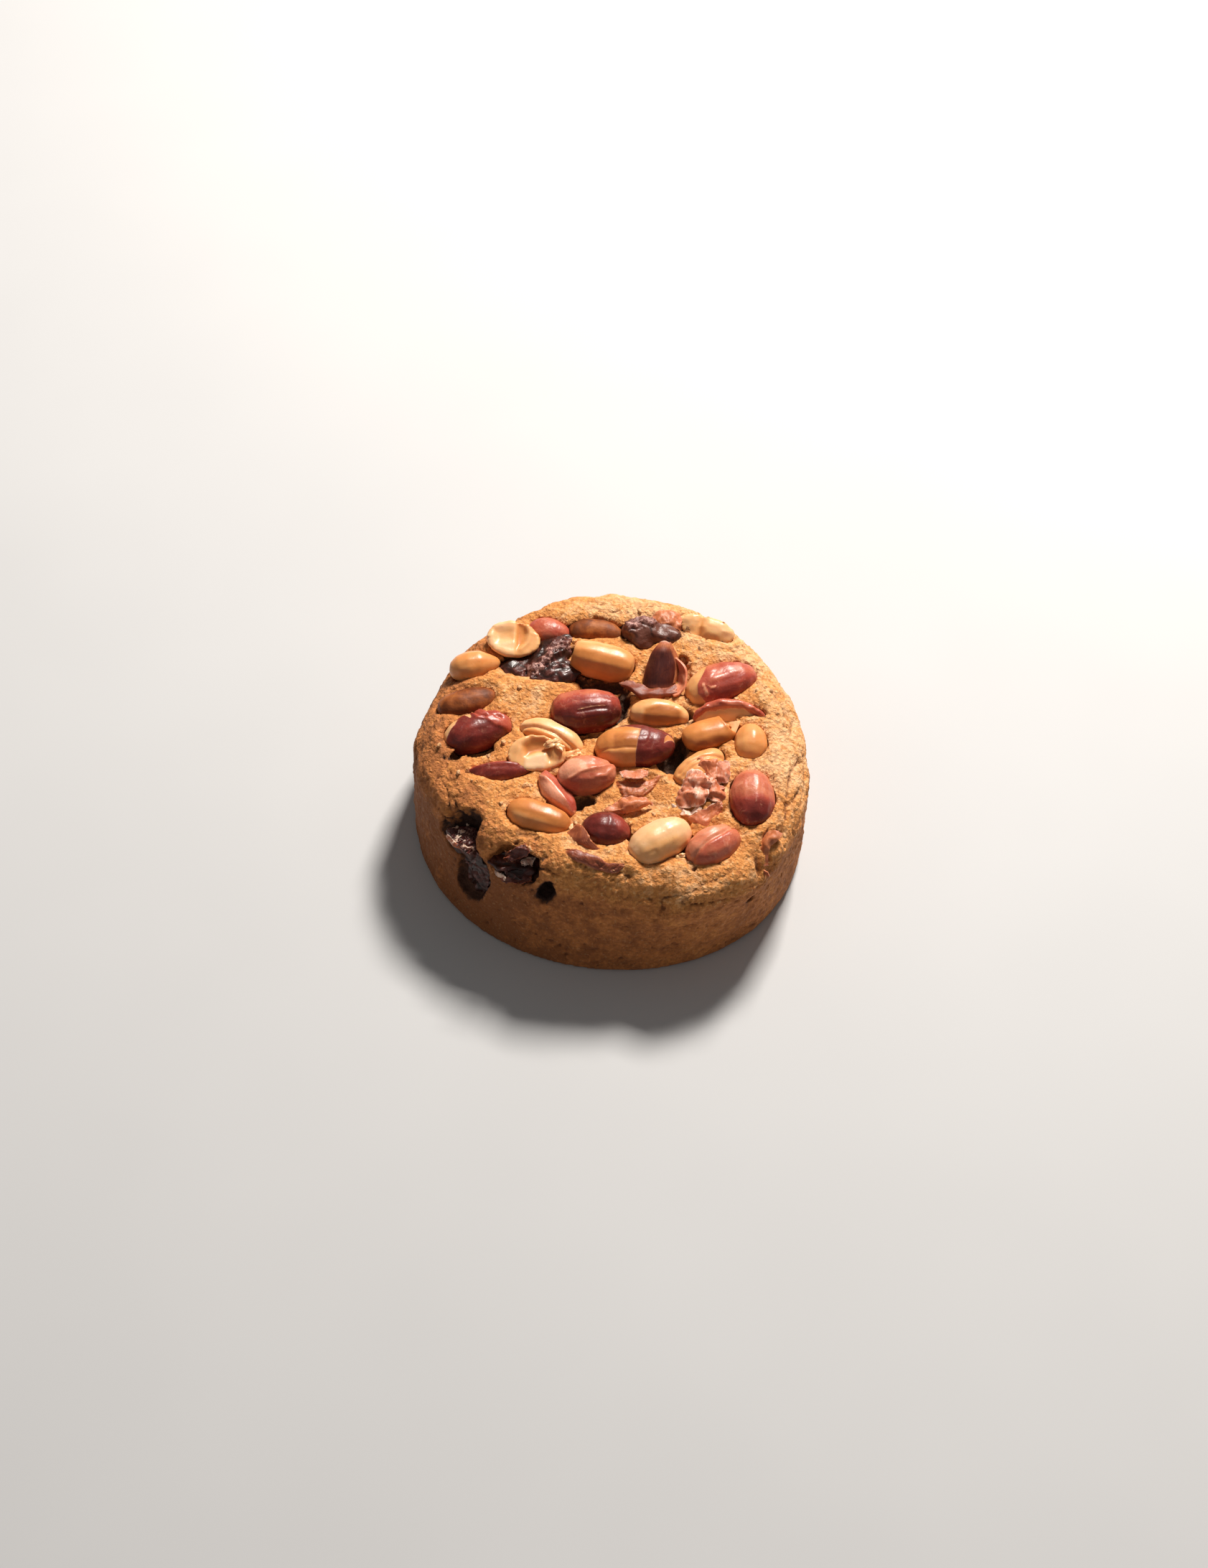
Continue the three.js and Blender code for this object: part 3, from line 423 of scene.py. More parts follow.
        [(2.9, -15.7, 26.3), (4.6, -16.1, 26.4), (6.4, -15.7, 26.5), (8.1, -14.5, 26.4), (9.4, -13.1, 26.3)],
    ]),
    "red_flap": ("flakes", 0.35, 0.7, 0.2, 0.3, {}, [
        [(-7.8, -25.8, 27.5), (-6.3, -24.8, 28.8), (-4.8, -27, 29.4), (-4, -29, 29.2)],
        [(-9.8, -26.4, 26.8), (-7.5, -28.1, 27.8), (-5.2, -29.5, 28.5), (-3, -29.8, 28.6)],
        [(-7.8, -28.7, 26.4), (-5.2, -30.4, 26.8), (-2.4, -31.4, 27.2), (-0.5, -31.2, 27.6)],
    ]),
    "front_flake": ("flakes", 0.35, 1, 0.2, 0.26, {"baked": 0.3}, [
        [(-9.2, -31.1, 26.9), (-6.2, -31.6, 27), (-2.4, -33, 27.1), (-0.1, -34.2, 27), (3.7, -33.8, 26.8)],
        [(-8.7, -32.4, 27.1), (-5.2, -33.5, 27.4), (-1.9, -34.5, 27.4),
         (0.7, -35.2, 27.3), (3.4, -34.6, 27)],
        [(-7.7, -33.5, 27), (-4.1, -34.7, 27.1), (-1.1, -35.5, 27.1), (1.7, -35.6, 26.9), (2.9, -35, 26.7)],
    ]),
    "back_crumple": ("flakes", 0.35, 0.8, 0.8, 0.52, {}, [
        [(8.9, 33.2, 27.6), (10.6, 34.4, 28.2), (12.8, 34.5, 28.2), (15.1, 33.5, 27.4)],
        [(9, 31.3, 27.6), (10.9, 32, 28.4), (13.3, 32.1, 28.3), (15.8, 31.7, 27.3)],
        [(10, 30.2, 27), (11.7, 30.1, 27.6), (13.9, 30, 27.4), (15.6, 29.9, 26.8)],
    ]),
    "film_roof": ("flakes", 0.25, 1.7, 1.1, 0.04, {}, [
        [(-21.6, -30.8, 26.4), (-19.9, -30.6, 27), (-18.6, -29.8, 27.4),
         (-17.7, -29.5, 27.5), (-16.8, -29.9, 27)],
        [(-21.9, -31.4, 25.8), (-20, -31.5, 26.6), (-18.5, -31.2, 27.1),
         (-17.5, -31.2, 27.2), (-16.8, -31.4, 26.6)],
        [(-22.2, -31.7, 24.8), (-20.2, -32.3, 25.3), (-18.8, -32.5, 25.8),
         (-17.7, -32.2, 26), (-17, -31.8, 25.9)],
    ]),
    "right_flake": ("flakes", 0.25, 1.8, 0.9, 0.95, {}, [
        [(-18.3, -31.4, 23.9), (-16.9, -31.1, 24.1), (-15.4, -30.6, 24.2)],
        [(-18, -31.4, 22.2), (-17, -31.4, 22.4), (-15.8, -31, 22.6)],
        [(-17.4, -31.6, 20.8), (-16.8, -31.6, 20.9), (-16.2, -31.4, 21)],
    ]),
    "left_flake": ("flakes", 0.25, 1.8, 0.9, 0.95, {}, [
        [(-24, -32.3, 20.9), (-23, -32.3, 20.9), (-21.4, -33.5, 20.9)],
        [(-23.8, -32.2, 19.7), (-22.8, -32.7, 19.7), (-21.6, -33.5, 19.9)],
    ]),
    "lower_lip": ("flakes", 0.25, 1.7, 0.9, 0.06, {}, [
        [(-22.1, -33.3, 20.8), (-19.3, -32.9, 20.7), (-16.8, -32.7, 21.1), (-16.1, -32.3, 21.6)],
        [(-23.3, -32.9, 18.2), (-20.9, -34, 19.5), (-18.4, -34.8, 20.3), (-15.9, -34.9, 21.4)],
    ]),
    "block_lip": ("flakes", 0.25, 1.4, 0.6, 0.8, {}, [
        [(-34.3, -23.4, 22), (-32.7, -25.5, 22.1), (-30.7, -26.7, 22.2), (-28.6, -27, 22.3)],
        [(-34.6, -23.7, 21.3), (-33, -26, 21.3), (-30.8, -27.2, 21.4), (-28.6, -27.5, 21.5)],
    ]),
    "tongue": ("split_4", 0.6, 0.3, 0.1, 0.2, {}, [
        [(25.7, 3.8, 27.6), (26.9, 4, 27.8), (28.2, 4.4, 27.6)],
        [(26.3, 2.5, 27.2), (26.8, 2.3, 27.3), (27.4, 2.3, 27.1)],
        [(25, 0.1, 26.6), (25.7, 0, 26.7), (26.2, 0.2, 26.5)],
        [(23.5, -2.2, 26), (24.1, -2.1, 26), (24.4, -1.8, 26)],
    ]),
}

# How the chunks of chocolate look. heading is the way that their folds run, in degrees, folds how
# deep these are, top and reach the height and radius that the chunk keeps under, in millimetres,
# and crumbly and smooth the shares of its top and of the rest with such a finish. crest is the
# line of a broken ridge, seen from above, which is raised and carries a painted highlight, partly
# pale bloom, and lobe a lump that widens the chunk.
CHUNKS = {
    "chocolate_1": {
        "heading": 35, "folds": 0.7,
        "crest": [(-19.1, 16.1), (-15.5, 18.9), (-13.5, 22.6), (-11.1, 24.6), (-8.9, 25.7)],
        "lobe": {"at": (-12.6, 17.8, 25.4), "size": (11.4, 7, 5.4), "turn": (0, 0, 10), "square": 0.2},
    },
    "chocolate_2": {"heading": -20, "folds": 0.6, "smooth": 1, "crest": [(4, 29), (6.2, 30.6), (8.6, 30.4)]},
    "chocolate_3": {"heading": -20, "folds": 0.3, "top": 21.6, "reach": 41, "crumbly": 1, "smooth": 0.3},
    "chocolate_4": {"heading": 10, "folds": 0.7, "top": 21.2, "reach": 39.2},
    "chocolate_5": {"heading": 60, "folds": 0.9, "reach": 39.4},
}

# Hollows that are cut into the dough: at and size in millimetres, turn in degrees about X, Y and Z.
# square runs from 0, a ball, to 1, nearly a box, and the last number is how dark its walls are
# painted: painted shade, with some chocolate stain.
CARVED = [
    {"at": (-32.2, -24.4, 25), "size": (9.6, 9, 14), "turn": (0, 0, -14), "square": 1, "stain": 1},
    {"at": (-30.2, -30, 13.4), "size": (8.4, 8, 13), "turn": (0, 16, -46), "square": 0.3, "stain": 0.85},
    {"at": (-19.2, -33.2, 23.6), "size": (10, 7, 7), "turn": (0, 0, 12), "square": 0.4, "stain": 0.9},
    {"at": (-12.9, -37.1, 20.8), "size": (3.2, 9, 6.6), "turn": (0, 24, -16), "square": 0.5, "stain": 1},
    {"at": (-17.4, -27.2, 27.4), "size": (8, 1.6, 3), "turn": (0, 0, -20), "square": 0, "stain": 0.5},
    {"at": (30.2, -34.2, 16.5), "size": (1.9, 6.6, 3), "turn": (0, 30, 42), "square": 0.2, "stain": 1},
    {"at": (13.6, -4.2, 24.6), "size": (4.4, 10, 8), "turn": (0, 0, -28), "square": 0.3, "stain": 0.95},
    {"at": (2.4, 9.4, 25.4), "size": (3.4, 9, 7), "turn": (0, 0, -10), "square": 0.3, "stain": 0.95},
    {"at": (-2, 15.4, 25.6), "size": (13, 4, 7), "turn": (0, 0, -12), "square": 0.2, "stain": 0.95},
    {"at": (-30, -5, 26.2), "size": (12, 3, 4.4), "turn": (0, 0, 22), "square": 0, "stain": 0.8},
    {"at": (-5.4, -17.6, 25.4), "size": (6, 3, 5), "turn": (0, 0, 14), "square": 0, "stain": 0.9},
    {"at": (-5.4, 1.2, 26), "size": (11, 2.4, 4.4), "turn": (0, 0, 6), "square": 0, "stain": 0.8},
    {"at": (16.8, 6.4, 26), "size": (2.6, 4.6, 5), "turn": (0, 0, 10), "square": 0, "stain": 0.8},
]

# A lump of dough that closes most of the recess behind the skin on the rim.
FILLED = {"at": (33.6, -25.7, 20.8), "size": (7.4, 8, 10), "turn": (0, 0, -37), "square": 0.2}

# Clefts in the dough: (points, width, depth), in millimetres.
CLEFTS = [
    ([(34.4, -24, 27), (31.6, -30.1, 25.8), (32, -32, 23.2), (31.2, -33.6, 20)], 0.8, 1.3),
    ([(24.6, -38.8, 13.5), (21.4, -40.4, 11)], 0.35, 0.6),
    ([(37.9, -20.2, 25.8), (38.2, -13.5, 26.9), (39.6, -8, 27.4), (41.3, -4.9, 25.9)], 0.7, 0.9),
    ([(36.6, -16.4, 26.8), (38.8, -16.7, 26.1), (41.6, -11.7, 25.3)], 0.5, 0.7),
    ([(40.6, -15.4, 24), (42.4, -9, 23.4), (42.6, -2, 24)], 0.5, 0.6),
    ([(37, -3, 27), (38.8, 1, 26.4), (40, 6, 25.4)], 0.5, 0.5),
    ([(-26.8, -29.4, 26), (-23.6, -30.4, 26.4), (-21.4, -29, 27), (-18.6, -28.6, 27.4)], 0.6, 0.9),
    ([(-16.6, -34.6, 24.4), (-14.2, -36.8, 24.2), (-13.4, -39, 23)], 0.6, 1.1),
    ([(-38.6, -14, 22), (-40.4, -9, 21), (-41.6, -3, 22)], 0.6, 0.5),
    ([(6, -41.4, 22), (13, -40.8, 20.6), (21, -38.4, 21.6)], 0.5, 0.4),
]

# The groups of kernels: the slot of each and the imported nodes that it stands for.
GROUPS = {
    "blanched_kernels": ("blanched_kernel", [f"blanched_{i}" for i in range(1, 7)]),
    "red_kernels": ("red_skin", [f"redskin_{i}" for i in range(1, 8)]),
    "torn_kernels": ("torn_skin", ["torn_1", "torn_2"]),
    "dusted_kernels": ("dusted_kernel", ["dusted_1", "dusted_2"]),
    "split_kernels": ("split_kernel", [f"split_{i}" for i in range(1, 11)]),
}

# Modelling helpers


def select_only(piece):
    """Makes a piece the one selected and active object."""
    if bpy.context.object and bpy.context.object.mode != "OBJECT":
        bpy.ops.object.mode_set(mode="OBJECT")
    bpy.ops.object.select_all(action="DESELECT")
    piece.select_set(True)
    bpy.context.view_layer.objects.active = piece


def modify(piece, kind, **settings):
    """Adds a modifier with its settings and applies it."""
    select_only(piece)
    modifier = piece.modifiers.new(kind.title(), kind)
    for key, value in settings.items():
        setattr(modifier, key, value)
    bpy.ops.object.modifier_apply(modifier=modifier.name)
    return piece


def link(mesh, name):
    """A new object of a mesh in the scene."""
    piece = bpy.data.objects.new(name, mesh)
    bpy.context.scene.collection.objects.link(piece)
    return piece


def copy_of(node, name):
    """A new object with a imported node's mesh, its loose triangles merged into one skin."""
    piece = link(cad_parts[node].data.copy(), name)
    piece.data.materials.clear()
    select_only(piece)
    bpy.ops.object.mode_set(mode="EDIT")
    bpy.ops.mesh.select_all(action="SELECT")
    bpy.ops.mesh.remove_doubles(threshold=1e-6)
    bpy.ops.object.mode_set(mode="OBJECT")
    return piece


def add_shape(operator, name, **settings):
    """A primitive from one of Blender's add operators."""
    bpy.ops.object.select_all(action="DESELECT")
    operator(**settings)
    piece = bpy.context.object
    piece.name = name
    return piece


def join(pieces, name):
    """One object from several."""
    select_only(pieces[0])
    for piece in pieces[1:]:
        piece.select_set(True)
    bpy.ops.object.join()
    pieces[0].name = pieces[0].data.name = name
    return pieces[0]


def remove(piece):
    """Deletes a helper object with its mesh."""
    mesh = piece.data
    bpy.data.objects.remove(piece)
    bpy.data.meshes.remove(mesh)


def points_of(piece):
    """The vertices of a piece as rows of an array."""
    co = np.empty(len(piece.data.vertices) * 3)
    piece.data.vertices.foreach_get("co", co)
    return co.reshape(-1, 3)


def normals_of(piece):
    """The vertex normals of a piece as rows of an array."""
    normals = np.empty(len(piece.data.vertices) * 3, np.float32)
    piece.data.vertex_normals.foreach_get("vector", normals)
    return normals.reshape(-1, 3).astype(float)


def set_points(piece, co):
    """Moves the vertices of a piece."""
    piece.data.vertices.foreach_set("co", np.ascontiguousarray(co).ravel())
    piece.data.update()


def paint(piece, **layers):
    """Keeps one number for each vertex under a name that a finish can read."""
    for name, values in layers.items():
        layer = piece.data.attributes.get(name) or piece.data.attributes.new(name, "FLOAT", "POINT")
        layer.data.foreach_set("value", np.broadcast_to(values, len(piece.data.vertices)).astype(np.float32))


def smooth_shade(piece):
    """Shades a piece smooth, but for its sharp corners."""
    select_only(piece)
    bpy.ops.object.shade_smooth_by_angle(angle=math.radians(50))
    return piece


def smoothstep(low, high, value):
    """0 at low, 1 at high and an even curve between."""
    share = np.clip((value - low) / (high - low), 0, 1)
    return share * share * (3 - 2 * share)


def turned(degrees):
    """A rotation about X, then Y, then Z."""
    return Euler([math.radians(angle) for angle in degrees], "XYZ").to_matrix()


def line_distance(places, points):
    """Distance of each place to a line through the points, in as many dimensions as they have."""
    best = np.full(len(places), 1e9)
    for start, end in zip(points, points[1:]):
        start, step = np.array(start, float), np.subtract(end, start)
        share = np.clip((places - start) @ step / (step @ step), 0, 1)
        best = np.minimum(best, np.linalg.norm(places - start - share[:, None] * step, axis=1))
    return best


def ridge(places, points, width):
    """1 on a line through the points, falling evenly to 0 beside it."""
    return np.exp(-((line_distance(places, points) / width) ** 2))


def depth_inside(places, outline):
    """How far each place lies inside a flat outline, negative outside it."""
    x, y = places.T
    inside = np.zeros(len(x), bool)
    for (ax, ay), (bx, by) in zip(outline, [*outline[1:], outline[0]]):
        crosses = (ay > y) != (by > y)
        inside ^= crosses & (x < ax + (y - ay) * (bx - ax) / ((by - ay) or 1))
    away = line_distance(places, [*outline, outline[0]])
    return np.where(inside, away, -away)


def tree_of(piece):
    """A search tree of a piece's faces, to find what lies near or under a place."""
    return BVHTree.FromObject(piece, bpy.context.evaluated_depsgraph_get())


def hollowness(piece, reach):
    """How far each vertex lies under its surroundings, in millimetres, from an even blur."""
    co = points_of(piece)
    ends = np.empty(len(piece.data.edges) * 2, np.int32)
    piece.data.edges.foreach_get("vertices", ends)
    a, b = ends.reshape(-1, 2).T
    count = np.maximum(np.bincount(a, minlength=len(co)) + np.bincount(b, minlength=len(co)), 1)
    mean = co.copy()
    for _ in range(reach):
        mean = np.stack([
            np.bincount(a, mean[b, k], len(co)) + np.bincount(b, mean[a, k], len(co)) for k in range(3)
        ], 1) / count[:, None]
    return ((mean - co) * normals_of(piece)).sum(1) / MM


def stand_for(piece, slot, *nodes):
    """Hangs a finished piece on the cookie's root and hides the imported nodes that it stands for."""
    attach(piece, "root")
    if nodes:
        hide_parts(*nodes)
    return piece


# Shader helpers


class Value:
    """A number that a shader computes, so that its maths reads as Python."""

    def __init__(self, finish, socket):
        self.finish, self.socket = finish, socket

    def maths(self, operation, *others):
        """The result of a maths node, fed by values and numbers."""
        made = self.finish.node("ShaderNodeMath", {"operation": operation}, dict(enumerate(others)))
        return Value(self.finish, made.outputs[0])

    def __add__(self, other):
        return self.maths("ADD", self, other)

    def __sub__(self, other):
        return self.maths("SUBTRACT", self, other)

    def __mul__(self, other):
        return self.maths("MULTIPLY", self, other)

    def __radd__(self, other):
        return self.maths("ADD", other, self)

    def __rsub__(self, other):
        return self.maths("SUBTRACT", other, self)

    def __rmul__(self, other):
        return self.maths("MULTIPLY", other, self)

    def __abs__(self):
        return self.maths("ABSOLUTE", self)

    def step(self, low, high):
        """0 at low, 1 at high and an even curve between."""
        made = self.finish.node(
            "ShaderNodeMapRange",
            {"interpolation_type": "SMOOTHSTEP"},
            {"Value": self, "From Min": low, "From Max": high},
        )
        return Value(self.finish, made.outputs[0])


class Finish:
    """A material that is being made from nodes."""

    def __init__(self, name):
        self.material = bpy.data.materials.new(name)
        self.material.use_nodes = True
        self.tree = self.material.node_tree
        self.tree.nodes.clear()
        self.place = self.out(self.node("ShaderNodeTexCoord"), "Object")

    def node(self, kind, settings=None, sockets=None):
        """A node of a kind, with its settings and the values or links of its sockets."""
        made = self.tree.nodes.new(kind)
        for key, value in (settings or {}).items():
            if key == "stops":
                stops = made.color_ramp.elements
                while len(stops) < len(value):
                    stops.new(1)
                for stop, (place, tint) in zip(stops, value):
                    stop.position, stop.color = place, (*tint, 1)
            else:
                setattr(made, key, value)
        for key, value in (sockets or {}).items():
            if isinstance(value, Value):
                self.tree.links.new(value.socket, made.inputs[key])
            else:
                made.inputs[key].default_value = value
        return made

    def out(self, made, key):
        """What comes out of a node's socket."""
        return Value(self, made.outputs[key])

    def painted(self, name):
        """The number that paint kept for each vertex."""
        return self.out(self.node("ShaderNodeAttribute", {"attribute_name": name}), "Fac")

    def clouds(self, size, detail=3, rough=0.55, warp=0.0):
        """Soft noise around 0.5 with hills of a size in millimetres."""
        sockets = {
            "Vector": self.place, "Scale": 1 / (size * MM), "Detail": detail, "Roughness": rough,
            "Distortion": warp,
        }
        return self.out(self.node("ShaderNodeTexNoise", None, sockets), "Fac")

    def cells(self, size, warp=0.0):
        """Distance to the nearest of scattered points, a size apart and warped, in millimetres."""
        place, scale = self.place, 1 / (size * MM)
        if warp:
            drift = self.node("ShaderNodeTexNoise", None, {"Vector": place, "Scale": scale})
            moved = {0: self.out(drift, "Color"), 1: (warp * MM,) * 3, 2: place}
            made = self.node("ShaderNodeVectorMath", {"operation": "MULTIPLY_ADD"}, moved)
            place = self.out(made, "Vector")
        sockets = {"Vector": place, "Scale": scale, "Smoothness": 0.7}
        return self.out(self.node("ShaderNodeTexVoronoi", {"feature": "SMOOTH_F1"}, sockets), "Distance")

    def ramp(self, factor, *stops):
        """A colour from evenly spaced stops."""
        spaced = [(i / (len(stops) - 1), stop) for i, stop in enumerate(stops)]
        return self.out(self.node("ShaderNodeValToRGB", {"stops": spaced}, {"Fac": factor}), "Color")

    def blend(self, factor, first, second):
        """A colour between two others."""
        ends = [v if isinstance(v, Value) else (*v, 1) for v in (first, second)]
        made = self.node("ShaderNodeMix", {"data_type": "RGBA"}, {0: factor, 6: ends[0], 7: ends[1]})
        return self.out(made, 2)

    def surface(self, colour, rough, height=None, depth=0.1, specular=0.5, glow=None):
        """The finished surface. height gives its fine relief, depth millimetres deep, and glow is
        the share of light that shines through it, how far each colour does, and on what scale."""
        sockets = {"Base Color": colour, "Roughness": rough, "Specular IOR Level": specular}
        if glow:
            sockets.update(zip(("Subsurface Weight", "Subsurface Radius", "Subsurface Scale"), glow))
        if height is not None:
            relief = {"Height": height, "Distance": depth * MM}
            sockets["Normal"] = self.out(self.node("ShaderNodeBump", None, relief), "Normal")
        shader = self.out(self.node("ShaderNodeBsdfPrincipled", None, sockets), "BSDF")
        self.node("ShaderNodeOutputMaterial", None, {"Surface": shader})
        return self.material


# Finishes


def dough_finish(sizes):
    """Baked crumb: fine grains, golden inside and browned on the rim and wall, with painted shade in its
    pits, clefts and hollows, on its left rim and down its wall, and painted light on its back rim and lit
    grains.
    """
    make = Finish("baked_crumb")
    hollow, toasted, stain = make.painted("hollow"), make.painted("toasted"), make.painted("stain")
    wide = make.clouds(12, 3, 0.6)
    mid = make.clouds(2.4, 4, 0.65, 0.3)
    fine = make.clouds(0.62, 4, 0.7, 0.15)
    sand = make.clouds(0.3, 3, 0.65)
    grains = make.cells(0.9, 1.1) + (fine - 0.5) * 0.9 + (sand - 0.5) * 0.3
    colour = make.ramp(
        toasted + (wide - 0.5) * 0.9 + (mid - 0.5) * 1.1 + (fine - 0.5) * 0.5,
        sizes.dough_pale, sizes.dough_golden, sizes.dough_toasted, sizes.dough_brown,
    )
    # Pale crumbs show mostly where the crust is lit, as painted light, and the gaps between grains are
    # painted browner, partly as painted shade.
    lit = toasted.step(0.75, 0.4)
    colour = make.blend(grains.step(0.3, 0.05) * (0.15 + lit * 0.4), colour, sizes.dough_crumb)
    colour = make.blend(sand.step(0.6, 0.72) * lit * 0.35, colour, sizes.dough_crumb)
    colour = make.blend(grains.step(0.42, 0.75) * 0.4, colour, sizes.dough_brown)
    # Painted shade: the crust is darkened where it lies below its surroundings, in pits and clefts.
    colour = make.blend(hollow.step(0.03, 0.3) * 0.8, colour, sizes.dough_pit_shade)
    # Painted shade, with some chocolate stain: the walls of the carved hollows are darkened.
    colour = make.blend(stain * 0.96, colour, sizes.chocolate_dark)
    height = mid * 0.5 - grains * 0.75 + sand * 0.1
    rough = 0.66 - grains.step(0.3, 0.05) * 0.2 + sand * 0.2
    return make.surface(colour, rough, height, 0.62, 0.42)


def kernel_finish(name, sizes):
    """A kernel: flesh, red skin where its paint says so, and scuffs."""
    make = Finish(name)
    skin, scuffs = make.painted("skin"), make.painted("scuffs")
    broad = make.clouds(4.5, 3, 0.5, 0.5)
    fine = make.clouds(0.6, 3, 0.6)
    veins = make.clouds(1.8, 3, 0.55, 1)
    covered = (skin + (make.clouds(1.1, 4, 0.65) - 0.5) * 0.35).step(-0.02, 0.02)

    flesh = make.ramp(
        make.painted("flesh") + (broad - 0.5) * 0.5,
        sizes.flesh_pale, sizes.flesh_light, sizes.flesh_gold, sizes.flesh_toasted,
    )
    flesh = make.blend(fine.step(0.6, 0.75) * 0.2, flesh, sizes.flesh_toasted)
    red = make.ramp(
        make.painted("tone") + (broad - 0.5) * 0.5 + abs(veins - 0.5).step(0.05, 0) * 0.05,
        sizes.skin_maroon, sizes.skin_dark, sizes.skin_red, sizes.skin_tan, sizes.skin_pink,
    )
    rubbed = make.clouds(2, 5, 0.72, 0.9).step(0.56, 0.66) * scuffs
    red = make.blend(rubbed * 0.4, red, sizes.skin_worn)
    red = make.blend(fine.step(0.58, 0.7) * 0.2, red, sizes.skin_dark)
    rim = abs(skin).step(0.12, 0.0)
    colour = make.blend(rim * 0.35, make.blend(covered, flesh, red), sizes.skin_worn)
    rough = 0.29 + fine * 0.12 + rubbed * 0.24
    height = covered * 0.4 + covered * abs(veins - 0.5) * 0.7 + fine * 0.2 + broad * 0.3
    return make.surface(colour, rough, height, 0.14, 0.42, (0.3, (1, 0.42, 0.2), 1.4 * MM))


def dusted_finish(sizes):
    """A kernel under a thin brown film of dough."""
    make = Finish("dusted_film")
    broad = make.clouds(3.4, 3, 0.6, 0.4)
    fine = make.clouds(0.5, 4, 0.7)
    colour = make.ramp(broad.step(0.3, 0.75), sizes.film_dark, sizes.film_brown, sizes.film_gold)
    colour = make.blend(fine.step(0.5, 0.7) * 0.4, colour, sizes.film_speck)
    return make.surface(colour, 0.42 + fine * 0.25, broad * 0.4 + fine * 0.4, 0.14, 0.24)


def chocolate_finish(sizes):
    """Chocolate that has melted, folded and set, with glossy ridges and crumbly breaks, and painted
    highlights, partly pale bloom, on the tops of its folds and along its broken crest.
    """
    make = Finish("set_chocolate")
    folds = make.clouds(2.6, 3, 0.5, 1.2)
    fine = make.clouds(0.5, 3, 0.6)
    crumbly, smooth, crest = make.painted("crumbly"), make.painted("smooth"), make.painted("crest")
    # The tops of the folds are painted lighter: partly the chocolate's own brown, partly painted highlight.
    colour = make.blend(folds.step(0.4, 0.7), sizes.chocolate_dark, sizes.chocolate_ridge_tint_and_highlight)
    # Pale specks on the tops of the folds: partly bloom, partly painted highlight.
    colour = make.blend(folds.step(0.55, 0.75) * fine.step(0.38, 0.6) * 0.3, colour, sizes.chocolate_bloom_and_highlight)
    colour = make.blend(smooth * folds.step(0.25, 0.55), colour, sizes.chocolate_brown)
    flakes = make.cells(0.8).step(0.62, 0.3) * fine.step(0.46, 0.6)
    torn = make.blend(flakes, sizes.chocolate_torn, sizes.chocolate_crumb)
    colour = make.blend(crumbly, colour, torn)
    broken = make.clouds(1.1, 4, 0.65, 0.8)
    # Painted highlight along the broken crest, partly pale bloom.
    colour = make.blend(crest * 0.8, colour, sizes.chocolate_crest_highlight)
    colour = make.blend(crest * broken.step(0.46, 0.62), colour, sizes.chocolate_bloom_and_highlight)
    rough = 0.2 + fine * 0.22 + crumbly * 0.35 + smooth * 0.08 + crest * 0.06
    height = folds * (1 - crest * 0.5) + fine * 0.3 + crest * broken * 1.6
    return make.surface(colour, rough, height, 0.24, 0.45)


def sheet_finish(sizes):
    """Papery skin: from dark maroon to pale pink, with fibres and lighter torn edges."""
    make = Finish("papery_skin")
    broad = make.clouds(2.2, 4, 0.6, 0.8)
    tone, rim = make.painted("tone"), make.painted("rim")
    flat = {0: make.painted("across") * 15, 1: make.painted("along") * 2, 2: broad * 2}
    lengthways = make.out(make.node("ShaderNodeCombineXYZ", None, flat), "Vector")
    sockets = {"Vector": lengthways, "Scale": 1, "Detail": 4, "Roughness": 0.6}
    fibres = make.out(make.node("ShaderNodeTexNoise", None, sockets), "Fac")
    colour = make.ramp(
        tone + ((broad - 0.5) * 0.7 + (fibres - 0.5) * 0.45) * (tone.step(-0.2, 0.6) * 0.8 + 0.2) + rim * 0.2,
        sizes.skin_maroon, sizes.sheet_brown, sizes.sheet_orange, sizes.skin_tan, sizes.sheet_pale,
    )
    rough, height = 0.3 + fibres * 0.25, broad * 0.4 + fibres * 0.6
    return make.surface(colour, rough, height, 0.16, 0.45, (0.25, (1, 0.5, 0.3), 0.8 * MM))


# Kernels


